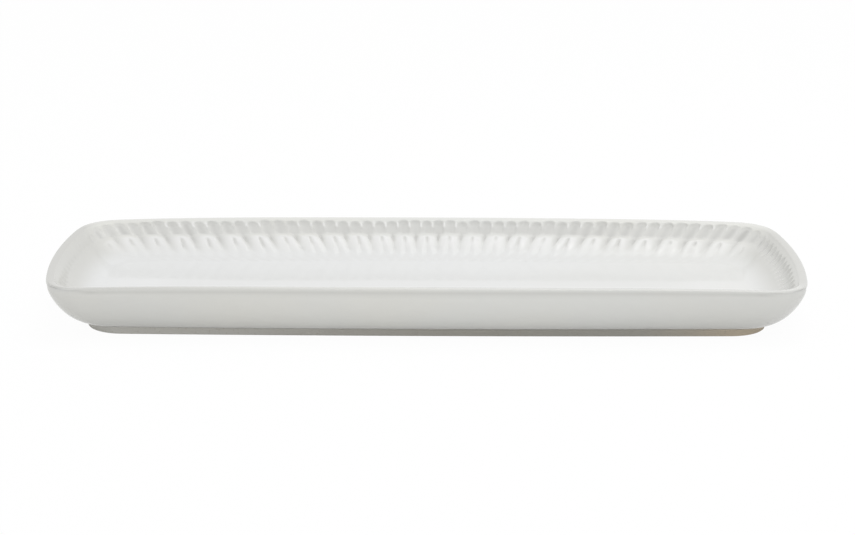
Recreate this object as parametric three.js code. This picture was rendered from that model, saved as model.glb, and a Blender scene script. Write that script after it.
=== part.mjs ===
// Oblong stoneware snack platter: a clay body on a foot ring, a glaze coat over the inside, the lip and
// the outer wall, and a patch of glaze inside the foot ring. Sizes are in millimetres and +Z is up.
// The origin lies on the table under the middle of the platter, with +X along its length.

import * as THREE from "three";

// Plan of the rim: two long sides and two ends, all slightly bowed, with rounded corners
const LENGTH = 360;
const WIDTH = 133;
const SIDE_RADIUS = 6200;
const END_RADIUS = 306;
const RIM_CORNER_RADIUS = 17.2;

// Lip, a rounded rim whose crown lies nearer its outer edge and settles a little towards the ends
const HEIGHT = 28.3;
const LIP_WIDTH = 4.2;
const LIP_CROWN_INSET = 1.8;
const LIP_OUTER_DROP = 1.6;
const LIP_INNER_DROP = 0.9;
const RIM_SETTLE = 2.2;
const SETTLE_SHARPNESS = 4;

// Well, with a steep wall under the lip, a knee, and a slope that runs out into the flat floor
const WELL_DEPTH = 16.6;
const STEEP_LEAN = 3.8;
const STEEP_DROP = 5.8;
const KNEE_RUN = 2.2;
const KNEE_DROP = 2.4;
const WALL_RUN = 19.8;

// Relief of the well's wall, with lengths measured down the wall from the lip
const FLUTE_PITCH = 6.7;
const FLUTE_START = 0.2;
const FLUTE_LENGTH = 6.8;
const FLUTE_DEPTH = 1.1;
const PETAL_HEIGHT = 1.1;
const PETAL_TIP_MARGIN = 6.4;

// How much closer the flutes stand in the middle of the long sides, as a share of their pitch
const MIDDLE_CROWDING = 0.112;

// Outer wall, a full curve from the lip down to the foot
const WALL_FULLNESS = 1.61;

// Foot ring and the recess inside it
const FOOT_INSET = 17.2;
const FOOT_HEIGHT = 4;
const FOOT_TAPER = 1.2;
const FOOT_WIDTH = 7;
const FOOT_EDGE = 0.8;
const FOOT_CORNER_RADIUS = 17.6;
const RECESS_DEPTH = 3;
const RECESS_RUN = 3;

// Glaze: its thickness, the extra that pools in the carved hollows, and its clearance to the clay
const GLAZE_THICKNESS = 0.5;
const GLAZE_POOL = 0.5;
const GLAZE_CLEARANCE = 0.05;
const BASE_GLAZE_MARGIN = 1.5;

// Facets: steps on half an end, on a corner and on half a long side, and rows over the lip and the wall
const PLAN_STEPS = [3, 7, 4];
const LIP_ROWS = 2;
const OUTER_WALL_ROWS = 7;

// Facets across one flute, in the clay and in the glaze over it
const CLAY_POINTS_PER_FLUTE = 2;
const GLAZE_POINTS_PER_FLUTE = 4;

// Shape of the relief: rows at shares of a flute's or a petal's length, their shares of its depth or height,
// how far a petal parts into two ridges, and the ribs' place between two hollows
const FLUTE_SHOULDER = { at: 0.2, depth: 0.75 };
const FLUTE_BELLY = { at: 0.6, depth: 1 };
const FLUTE_FOOT_DEPTH = 0.5;
const PETAL_HEAD_HEIGHT = 0.5;
const PETAL_CROWN = 0.4;
const PETAL_PARTING = 0.75;
const RIB_OFFSET = 0.5;

const CLAY = new THREE.MeshStandardMaterial({ color: 0xb9ad97, roughness: 0.9, metalness: 0 });
const GLAZE = new THREE.MeshStandardMaterial({ color: 0xe9ebe6, roughness: 0.18, metalness: 0 });

// Plan curves

/** The centre of a corner: the point in the first quarter where two circles cross. */
function crossing(centreA, radiusA, centreB, radiusB) {
  const axis = centreB.clone().sub(centreA);
  const distance = axis.length();
  axis.normalize();
  const along = (radiusA ** 2 - radiusB ** 2 + distance ** 2) / (2 * distance);
  const across = Math.sqrt(radiusA ** 2 - along ** 2);
  const side = new THREE.Vector2(-axis.y, axis.x);
  return centreA.clone().addScaledVector(axis, along).addScaledVector(side, across);
}

/** The three arcs of one quarter of the plan curve that lies `inset` inside the rim. */
function quarterArcs(inset) {
  const corner = RIM_CORNER_RADIUS - (inset * (RIM_CORNER_RADIUS - FOOT_CORNER_RADIUS)) / FOOT_INSET;
  const endCentre = new THREE.Vector2(LENGTH / 2 - END_RADIUS, 0);
  const sideCentre = new THREE.Vector2(0, WIDTH / 2 - SIDE_RADIUS);
  const endRadius = END_RADIUS - inset;
  const sideRadius = SIDE_RADIUS - inset;
  const cornerCentre = crossing(endCentre, endRadius - corner, sideCentre, sideRadius - corner);
  const endAngle = cornerCentre.clone().sub(endCentre).angle();
  const sideAngle = cornerCentre.clone().sub(sideCentre).angle();
  const arc = (centre, radius, from, to) => ({ centre, radius, from, to, length: radius * (to - from) });
  return [
    arc(endCentre, endRadius, 0, endAngle),
    arc(cornerCentre, corner, endAngle, sideAngle),
    arc(sideCentre, sideRadius, sideAngle, Math.PI / 2),
  ];
}

function quarterLength(arcs) {
  return arcs.reduce((sum, arc) => sum + arc.length, 0);
}

/** A point of the plan curve at a share of its way round, counted from the middle of the +X end. */
function planPoint(arcs, share) {
  const quarter = Math.floor(share * 4);
  const forward = quarter % 2 === 0;
  const local = share * 4 - quarter;
  let way = (forward ? local : 1 - local) * quarterLength(arcs);
  let index = 0;
  while (index < arcs.length - 1 && way > arcs[index].length) {
    way -= arcs[index].length;
    index += 1;
  }
  const { centre, radius, from } = arcs[index];
  const angle = from + way / radius;
  const x = centre.x + radius * Math.cos(angle);
  const y = centre.y + radius * Math.sin(angle);
  return [quarter === 1 || quarter === 2 ? -x : x, quarter > 1 ? -y : y];
}

/** Shares round the plan curve for a plain row, closer together in the corners. */
function plainShares(inset) {
  const arcs = quarterArcs(inset);
  const whole = quarterLength(arcs);
  const quarter = [];
  let start = 0;
  arcs.forEach((arc, index) => {
    for (let step = 0; step < PLAN_STEPS[index]; step += 1) {
      quarter.push((start + (arc.length * step) / PLAN_STEPS[index]) / whole / 4);
    }
    start += arc.length;
  });
  const mirrored = quarter.slice(1).reverse().map((share) => 0.5 - share);
  const half = [...quarter, 0.25, ...mirrored];
  return [...half, ...half.map((share) => share + 0.5)];
}

/** The share round the plan at which a share of the flutes has passed. */
function fluteShare(passed) {
  const quarter = Math.floor(passed * 4);
  const forward = quarter % 2 === 0;
  const local = forward ? passed * 4 - quarter : 1 - (passed * 4 - quarter);
  const crowded = local + MIDDLE_CROWDING * local ** 2 * (1 - local);
  return (quarter + (forward ? crowded : 1 - crowded)) / 4;
}

// Section, drawn as inset from the rim against height

/** The outer wall's curve, level where it leaves the foot and upright under the lip. */
class OuterWall extends THREE.Curve {
  getPoint(t, target = new THREE.Vector2()) {
    const angle = ((1 - t) * Math.PI) / 2;
    const power = 2 / WALL_FULLNESS;
    const rise = outerWallTop - FOOT_HEIGHT;
    const inset = FOOT_INSET * (1 - Math.sin(angle) ** power);
    return target.set(inset, FOOT_HEIGHT + rise * (1 - Math.abs(Math.cos(angle)) ** power));
  }
}

const floorInset = LIP_WIDTH + WALL_RUN;
const floorHeight = HEIGHT - WELL_DEPTH;
const wallTop = HEIGHT - LIP_INNER_DROP;
const innerLipWidth = LIP_WIDTH - LIP_CROWN_INSET;
const outerWallTop = HEIGHT - LIP_OUTER_DROP;
const UP = Math.PI / 2;
const OUTWARD = Math.PI;
const INWARD = 0;

/** The well's wall from the floor's edge up the slope, round the knee and up the steep part to the lip. */
function wellWall() {
  const floorEdge = new THREE.Vector2(floorInset, floorHeight);
  const top = new THREE.Vector2(LIP_WIDTH, wallTop);
  const steepFoot = new THREE.Vector2(LIP_WIDTH + STEEP_LEAN, wallTop - STEEP_DROP);
  const kneeEnd = new THREE.Vector2(steepFoot.x + KNEE_RUN, steepFoot.y - KNEE_DROP);
  const kneeCorner = steepFoot.clone().lerp(top, -KNEE_DROP / 2 / STEEP_DROP);
  const slope = (kneeEnd.x - kneeCorner.x) / (kneeCorner.y - kneeEnd.y);
  const slopeFoot = new THREE.Vector2(kneeEnd.x + slope * (kneeEnd.y - floorHeight), floorHeight);
  const wall = new THREE.CurvePath();
  wall.add(new THREE.QuadraticBezierCurve(floorEdge, slopeFoot, kneeEnd));
  wall.add(new THREE.QuadraticBezierCurve(kneeEnd, kneeCorner, steepFoot));
  wall.add(new THREE.LineCurve(steepFoot, top));
  return wall;
}

const innerWall = wellWall();
const innerLip = new THREE.EllipseCurve(LIP_CROWN_INSET, wallTop, innerLipWidth, LIP_INNER_DROP, INWARD, UP);
const outerLip = new THREE.EllipseCurve(
  LIP_CROWN_INSET, outerWallTop, LIP_CROWN_INSET, LIP_OUTER_DROP, UP, OUTWARD,
);
const outerWall = new OuterWall();

/** One row of the skin: a point of the section, the way out of the clay, its shares and its relief. */
function sectionRow(curve, t, shares = null, relief = null) {
  const point = curve.getPointAt(t);
  const tangent = curve.getTangentAt(t);
  const out = new THREE.Vector2(tangent.y, -tangent.x);
  return { point, out, shares: shares ?? plainShares(point.x), relief };
}

// Relief: each flute is a round hollow between two sharp ribs, and each petal spans two flutes

const fluteRoom = 4 * quarterLength(quarterArcs(LIP_WIDTH));
const fluteCount = 4 * Math.round(fluteRoom / (4 * FLUTE_PITCH));

/** Shares of the flutes that have passed at the points of a row, from a first point on. */
function passedShares(count, first = 0) {
  return Array.from({ length: count }, (_, index) => (index + first) / count);
}

/**
 * Depth of the relief at a share of the flutes, positive into the wall. Hollows are centred on whole places.
 * Petals meet in every other hollow, and below its domed head each petal parts into two ridges.
 */
function reliefDepth({ flute, petal, parting }, passed, fluteDepth) {
  const place = passed * fluteCount;
  const fromHollow = 2 * Math.abs(place - Math.round(place));
  const petalPlace = (place + 1) / 2;
  const fromVein = Math.abs(2 * (petalPlace - Math.floor(petalPlace)) - 1);
  const hollow = 1 - fromHollow ** 2;
  const dome = 1 - fromVein ** 2;
  const ridges = 1 - (2 * fromVein - 1) ** 2;
  return flute * fluteDepth * hollow - petal * PETAL_HEIGHT * THREE.MathUtils.lerp(dome, ridges, parting);
}

/** Rows of the whole skin from the floor's edge up the wall, over the lip and down to the foot. */
function skinRows(pointsPerFlute) {
  const wallLength = innerWall.getLength();
  const petalStart = FLUTE_START + FLUTE_LENGTH;
  const petalTip = wallLength - PETAL_TIP_MARGIN;
  const crown = petalStart + PETAL_CROWN * (petalTip - petalStart);
  const ribs = passedShares(fluteCount, RIB_OFFSET);
  const petals = passedShares(CLAY_POINTS_PER_FLUTE * fluteCount);
  const flutes = passedShares(pointsPerFlute * fluteCount);
  const onWall = (down, passed, { flute = 0, petal = 0, parting = 0 }) =>
    sectionRow(innerWall, 1 - down / wallLength, passed.map(fluteShare), { passed, flute, petal, parting });
  const rows = [
    sectionRow(innerWall, 0),
    onWall(petalTip, ribs, {}),
    onWall(crown, petals, { petal: 1, parting: PETAL_PARTING }),
    onWall(petalStart, petals, { flute: FLUTE_FOOT_DEPTH, petal: PETAL_HEAD_HEIGHT }),
    onWall(FLUTE_START + FLUTE_BELLY.at * FLUTE_LENGTH, flutes, { flute: FLUTE_BELLY.depth }),
    onWall(FLUTE_START + FLUTE_SHOULDER.at * FLUTE_LENGTH, flutes, { flute: FLUTE_SHOULDER.depth }),
    onWall(FLUTE_START, ribs, {}),
    sectionRow(innerWall, 1),
  ];
  for (const [curve, count] of [[innerLip, LIP_ROWS], [outerLip, LIP_ROWS], [outerWall, OUTER_WALL_ROWS]]) {
    for (let step = 1; step <= count; step += 1) {
      rows.push(sectionRow(curve, step / count));
    }
  }
  return rows;
}

/** A height after the rim has settled towards the ends, with the floor and all below it left level. */
function settled(x, height) {
  const aboveFloor = Math.max(0, height - floorHeight) / WELL_DEPTH;
  const towardsEnd = Math.abs(x) / (LENGTH / 2);
  return height - RIM_SETTLE * towardsEnd ** SETTLE_SHARPNESS * aboveFloor ** 2;
}

/** Rings of points for rows of the skin, moved `sunk` below the finished surface. */
function skinRings(rows, sunk, fluteDepth) {
  return rows.map(({ point, out, shares, relief }) => ({
    shares,
    points: shares.map((share, index) => {
      const depth = relief ? sunk + reliefDepth(relief, relief.passed[index], fluteDepth) : sunk;
      const [x, y] = planPoint(quarterArcs(point.x - depth * out.x), share);
      return [x, y, settled(x, point.y - depth * out.y)];
    }),
  }));
}

/** A level ring of points on the plan curve at an inset. */
function levelRing(inset, height) {
  const shares = plainShares(inset);
  const arcs = quarterArcs(inset);
  return { shares, points: shares.map((share) => [...planPoint(arcs, share), height]) };
}

// Solids, built up from rings of points, strips between neighbouring rings and level caps

/** The surface of one solid while it is being built. */
class Surface {
  vertices = [];
  triangles = [];

  /** Takes in a ring's points and returns the ring with the place of its first point. */
  ring({ shares, points }) {
    const start = this.vertices.length;
    this.vertices.push(...points);
    return { shares, start, count: points.length, height: points[0][2] };
  }

  /** Adds one triangle, turned over where it faces the other way. */
  facet(a, b, c, turned) {
    this.triangles.push(...(turned ? [b, a, c] : [a, b, c]));
  }

  /** Joins two rings of any counts, matched by their shares round the plan. */
  strip(from, to, turned = false) {
    let i = 0;
    let j = 0;
    while (i < from.count || j < to.count) {
      const a = from.start + (i % from.count);
      const b = to.start + (j % to.count);
      const nextFrom = from.shares[i + 1] ?? 1;
      const nextTo = to.shares[j + 1] ?? 1;
      if (i < from.count && (j >= to.count || nextFrom <= nextTo)) {
        i += 1;
        this.facet(from.start + (i % from.count), a, b, turned);
      } else {
        j += 1;
        this.facet(to.start + (j % to.count), a, b, turned);
      }
    }
  }

  /** Joins each ring of a list to the next. */
  strips(rings, turned = false) {
    rings.slice(1).forEach((ring, index) => this.strip(rings[index], ring, turned));
  }

  /** Closes a level ring towards its middle. */
  cap(ring, turned = false) {
    const middle = this.vertices.push([0, 0, ring.height]) - 1;
    for (let index = 0; index < ring.count; index += 1) {
      this.facet(ring.start + index, ring.start + ((index + 1) % ring.count), middle, turned);
    }
  }

  mesh(name, material) {
    const geometry = new THREE.BufferGeometry();
    geometry.setAttribute("position", new THREE.Float32BufferAttribute(this.vertices.flat(), 3));
    geometry.setIndex(this.triangles);
    geometry.computeVertexNormals();
    const mesh = new THREE.Mesh(geometry, material);
    mesh.name = name;
    return mesh;
  }
}

/** A solid whose surface is one run of rings with a level cap at each end. */
function runMesh(name, material, rings) {
  const surface = new Surface();
  const run = rings.map((ring) => surface.ring(ring));
  surface.strips(run);
  surface.cap(run[0]);
  surface.cap(run[run.length - 1], true);
  return surface.mesh(name, material);
}

const clayFluteDepth = FLUTE_DEPTH + GLAZE_POOL;
const clayRows = skinRows(CLAY_POINTS_PER_FLUTE);
const glazeRows = skinRows(GLAZE_POINTS_PER_FLUTE);

const footSide = FOOT_INSET + FOOT_TAPER;
const footOuter = footSide + FOOT_EDGE;
const footInner = footOuter + FOOT_WIDTH;
const recessSide = footInner + FOOT_EDGE;
const ceilingInset = recessSide + RECESS_RUN;

/** Clay body: the skin under the glaze, the foot ring and the recess inside it. */
function stonewareBody() {
  const skin = skinRings(clayRows, GLAZE_THICKNESS + GLAZE_CLEARANCE, clayFluteDepth);
  const foot = [
    levelRing(FOOT_INSET + GLAZE_CLEARANCE, FOOT_HEIGHT),
    levelRing(footSide, FOOT_EDGE),
    levelRing(footOuter, 0),
    levelRing(footInner, 0),
    levelRing(recessSide, FOOT_EDGE),
    levelRing(ceilingInset, RECESS_DEPTH),
  ];
  return runMesh("stoneware_body", CLAY, [...skin, ...foot]);
}

/** Glaze coat: the finished surface over the face that lies on the clay, closed along the foot. */
function glazeCoat() {
  const surface = new Surface();
  const finished = skinRings(glazeRows, 0, FLUTE_DEPTH).map((ring) => surface.ring(ring));
  const onClay = skinRings(clayRows, GLAZE_THICKNESS, clayFluteDepth).map((ring) => surface.ring(ring));
  surface.strips(finished);
  surface.strips(onClay, true);
  surface.strip(finished[finished.length - 1], onClay[onClay.length - 1]);
  surface.cap(finished[0]);
  surface.cap(onClay[0], true);
  return surface.mesh("glaze_coat", GLAZE);
}

/** Glaze inside the foot ring: a thin plate under the recess's ceiling. */
function baseGlaze() {
  const top = RECESS_DEPTH - GLAZE_CLEARANCE;
  const inset = ceilingInset + BASE_GLAZE_MARGIN;
  const plate = [levelRing(inset, top), levelRing(inset, top - GLAZE_THICKNESS)];
  return runMesh("base_glaze", GLAZE, plate);
}

const platter = new THREE.Group();
platter.add(stonewareBody(), glazeCoat(), baseGlaze());

export default platter;
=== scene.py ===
"""Looks of an oblong stoneware snack platter with a fluted inner wall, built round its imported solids.

Lengths are in metres.
"""

import logging
import math
from dataclasses import dataclass, field
from enum import Enum

import bmesh
import bpy
import numpy as np
from mathutils import Euler, Matrix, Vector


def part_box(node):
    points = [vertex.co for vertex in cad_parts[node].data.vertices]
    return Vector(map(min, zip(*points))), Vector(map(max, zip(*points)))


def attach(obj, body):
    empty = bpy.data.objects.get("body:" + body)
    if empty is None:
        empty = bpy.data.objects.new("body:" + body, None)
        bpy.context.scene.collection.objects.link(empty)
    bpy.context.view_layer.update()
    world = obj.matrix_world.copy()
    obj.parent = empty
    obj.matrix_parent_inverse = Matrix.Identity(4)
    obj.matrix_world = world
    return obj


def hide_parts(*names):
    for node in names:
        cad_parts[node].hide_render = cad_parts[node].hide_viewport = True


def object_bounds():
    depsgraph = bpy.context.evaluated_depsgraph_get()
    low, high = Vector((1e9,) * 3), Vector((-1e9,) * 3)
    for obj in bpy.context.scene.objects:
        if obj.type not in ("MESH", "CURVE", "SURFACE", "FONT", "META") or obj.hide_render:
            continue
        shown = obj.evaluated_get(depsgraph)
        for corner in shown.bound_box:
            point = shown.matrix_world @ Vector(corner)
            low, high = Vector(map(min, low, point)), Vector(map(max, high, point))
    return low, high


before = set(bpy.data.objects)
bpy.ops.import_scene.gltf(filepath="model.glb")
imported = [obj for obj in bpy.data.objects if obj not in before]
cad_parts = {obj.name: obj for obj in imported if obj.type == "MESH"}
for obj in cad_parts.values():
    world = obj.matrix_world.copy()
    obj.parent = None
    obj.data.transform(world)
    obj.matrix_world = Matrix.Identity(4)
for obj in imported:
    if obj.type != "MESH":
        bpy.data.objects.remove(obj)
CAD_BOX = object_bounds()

MM = 0.001
# Points nearer than WELD become one, and faces thinner than SLIVER are dissolved.
WELD = 0.01 * MM
SLIVER = 0.001 * MM
# Way down the wall that is given to rows outside the relief.
OFF_RELIEF = -1.0
# Shares of the half length over which a place goes from near to far.
FAR_SPAN = (0.25, 0.7)
LOG = logging.getLogger("snack_platter")

Span = tuple[float, float]
Triple = tuple[float, float, float]
Colour = tuple[float, float, float, float]

WHITE: Colour = (1.0, 1.0, 1.0, 1.0)


class Node(Enum):
    """CAD nodes that the pieces stand for."""

    BODY = "stoneware_body"
    COAT = "glaze_coat"
    BASE = "base_glaze"


class Slot(Enum):
    """Material slots of the record."""

    GLAZE = "white_glaze"
    CLAY = "bare_clay"


class Mask(Enum):
    """Point attributes that carry the relief's form into the glaze, painted shade, highlights and glints
    among them.
    """

    # Glaze pools together with painted shade: in the relief, in the corner tucks and above the foot.
    POOL = "glaze_pool_and_shade"
    # Painted highlight: lighter colour on the ribs and on the petals' swells.
    CREST = "glaze_crest_highlight"
    # Painted highlight: white glints on the ribs and on the petals' ridges.
    BREAK = "glaze_painted_glint"
    # Thin glaze on the lip, plus painted shade under the lip, on the left lip, on the end walls, towards the
    # ends and above the foot.
    THIN = "glaze_thin_and_shade"
    # Lighter, cooler floor of the well: whiter glaze together with a painted reflection of the white
    # surroundings.
    WELL = "well_sheen_share"
    PALE = "clay_pale"
    FLUSH = "clay_flush"


def smooth_step(low: float | np.ndarray, high: float | np.ndarray, value: np.ndarray) -> np.ndarray:
    """Eased ramp from 0 at low to 1 at high.

    Args:
        low: Value where the ramp starts.
        high: Value where the ramp ends.
        value: Values to ease.

    Returns:
        The eased values, from 0 to 1.
    """
    share = np.clip((value - low) / (high - low), 0.0, 1.0)
    return share * share * (3.0 - 2.0 * share)


@dataclass(frozen=True)
class PlanCurve:
    """Plan of the platter: bowed sides and ends with rounded corners, drawn in by an inset."""

    length: float
    width: float
    foot_inset: float
    side_radius: float = 6.2
    end_radius: float = 0.306
    rim_corner: float = 17.2 * MM
    foot_corner: float = 17.6 * MM
    end_fade: Span = (-0.7, 0.2)
    corner_fade: Span = (0.35, 1.0)

    def arcs(self, inset: np.ndarray) -> dict[str, np.ndarray]:
        """Arcs of one quarter of the curve.

        Args:
            inset: How far the curve lies inside the rim.

        Returns:
            Radii, angles, corner centre and lengths of the end, corner and side arcs.
        """
        corner = self.rim_corner - inset * (self.rim_corner - self.foot_corner) / self.foot_inset
        end, side = self.end_radius - inset, self.side_radius - inset
        end_x, side_y = self.length / 2 - self.end_radius, self.width / 2 - self.side_radius
        reach = math.hypot(end_x, side_y)
        along = ((end - corner) ** 2 - (side - corner) ** 2 + reach**2) / (2 * reach)
        across = np.sqrt((end - corner) ** 2 - along**2)
        corner_x = end_x - along * end_x / reach - across * side_y / reach
        corner_y = along * side_y / reach - across * end_x / reach
        end_angle = np.arctan2(corner_y, corner_x - end_x)
        side_angle = np.arctan2(corner_y - side_y, corner_x)
        return {
            "corner": corner,
            "end": end,
            "side": side,
            "corner_x": corner_x,
            "corner_y": corner_y,
            "end_angle": end_angle,
            "side_angle": side_angle,
            "end_length": end * end_angle,
            "corner_length": corner * (side_angle - end_angle),
            "side_length": side * (math.pi / 2 - side_angle),
        }

    def quarter_length(self, inset: float) -> float:
        """Length of a quarter of the curve at an inset."""
        arcs = self.arcs(np.asarray(inset))
        return float(arcs["end_length"] + arcs["corner_length"] + arcs["side_length"])

    def points(self, inset: np.ndarray, share: np.ndarray) -> tuple[np.ndarray, np.ndarray]:
        """Points of the curve.

        Args:
            inset: How far each point's curve lies inside the rim.
            share: Each point's share of the way round, from the middle of the +X end.

        Returns:
            The points' x and y.
        """
        inset, share = np.broadcast_arrays(np.asarray(inset, float), np.asarray(share, float) % 1.0)
        arcs = self.arcs(inset)
        quarter = np.floor(share * 4)
        local = share * 4 - quarter
        local = np.where(quarter % 2 == 1, 1 - local, local)
        way = local * (arcs["end_length"] + arcs["corner_length"] + arcs["side_length"])
        past_end = way - arcs["end_length"]
        past_corner = past_end - arcs["corner_length"]
        where = [past_end < 0, past_corner < 0]
        angle = np.select(
            where,
            [way / arcs["end"], arcs["end_angle"] + past_end / arcs["corner"]],
            arcs["side_angle"] + past_corner / arcs["side"],
        )
        radius = np.select(where, [arcs["end"], arcs["corner"]], arcs["side"])
        centre_x = np.select(where, [self.length / 2 - self.end_radius, arcs["corner_x"]], 0.0)
        side_y = self.width / 2 - self.side_radius
        centre_y = np.select(where, [np.zeros_like(way), arcs["corner_y"]], side_y)
        x = centre_x + radius * np.cos(angle)
        y = centre_y + radius * np.sin(angle)
        return np.where((quarter == 1) | (quarter == 2), -x, x), np.where(quarter > 1, -y, y)

    def past_corner(self, inset: float, share: np.ndarray) -> np.ndarray:
        """How far each share lies past the middle of its corner, counted in lengths of the corner.

        Args:
            inset: How far the curve lies inside the rim.
            share: Shares of the way round.

        Returns:
            Negative towards the end and positive towards the long side.
        """
        arcs = self.arcs(np.asarray(inset))
        local = share * 4 - np.floor(share * 4)
        local = np.where(np.floor(share * 4) % 2 == 1, 1 - local, local)
        middle = float(arcs["end_length"] + arcs["corner_length"] / 2)
        return (local * self.quarter_length(inset) - middle) / float(arcs["corner_length"])

    def end_and_corner(self, inset: float, share: np.ndarray) -> tuple[np.ndarray, np.ndarray]:
        """How far each share belongs to an end and to a corner.

        Args:
            inset: How far the curve lies inside the rim.
            share: Shares of the way round.

        Returns:
            From 0 on the long sides to 1 on the ends, and from 0 on both to 1 in the middle of a corner.
        """
        past_middle = self.past_corner(inset, share)
        end = 1 - smooth_step(*self.end_fade, past_middle)
        corner = 1 - smooth_step(*self.corner_fade, np.abs(past_middle))
        return end, corner


@dataclass
class Rows:
    """Rows of a skin: points of the section with the way out of the clay.

    Attributes:
        inset: How far each row lies inside the rim.
        height: Its height.
        out_inset: Inset part of the way out of the clay.
        out_height: Height part of the way out of the clay.
        down: Way down the well's wall from the lip, negative on the lip, OFF_RELIEF elsewhere.
    """

    inset: np.ndarray
    height: np.ndarray
    out_inset: np.ndarray
    out_height: np.ndarray
    down: np.ndarray

    def pick(self, step: int) -> "Rows":
        """Every step-th row, with the last one kept."""
        keep = sorted({*range(0, len(self.inset), step), len(self.inset) - 1})
        return Rows(*(values[keep] for values in vars(self).values()))

    def part(self, first: int, last: int | None) -> "Rows":
        """The rows from one number up to another."""
        return Rows(*(values[first:last] for values in vars(self).values()))

    def __add__(self, other: "Rows") -> "Rows":
        """These rows followed by others."""
        return Rows(*(np.concatenate(pair) for pair in zip(vars(self).values(), vars(other).values())))


def profile_rows(
    inset: np.ndarray, height: np.ndarray, count: int, skip_first: bool = True, crowding: float = 1.0
) -> Rows:
    """Rows along a stretch of the section, evenly spaced or crowded towards its end.

    Args:
        inset: Finely spaced insets of the stretch.
        height: Heights that go with them.
        count: Number of steps to make.
        skip_first: Whether the first point is left to the stretch before.
        crowding: How much closer the rows stand towards the end, 1 for evenly.

    Returns:
        The rows, set off the relief.
    """
    way = np.concatenate([[0.0], np.cumsum(np.hypot(np.diff(inset), np.diff(height)))])
    even = way[-1] * (1 - np.linspace(1.0, 0.0, count + 1) ** crowding)
    ahead = np.gradient(np.interp(even, way, inset)), np.gradient(np.interp(even, way, height))
    speed = np.hypot(*ahead)
    first = 1 if skip_first else 0
    rows = np.interp(even, way, inset), np.interp(even, way, height), ahead[1] / speed, -ahead[0] / speed
    return Rows(*(values[first:] for values in rows), np.full(count + 1 - first, OFF_RELIEF))


def level_rows(insets: tuple[float, ...], height: float, facing: float) -> Rows:
    """Level rows at chosen insets.

    Args:
        insets: Insets of the rows.
        height: Their height.
        facing: 1 where the clay lies below them and -1 where it lies above.

    Returns:
        The rows, set off the relief.
    """
    count = len(insets)
    return Rows(
        np.array(insets),
        np.full(count, height),
        np.zeros(count),
        np.full(count, facing),
        np.full(count, OFF_RELIEF),
    )


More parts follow.
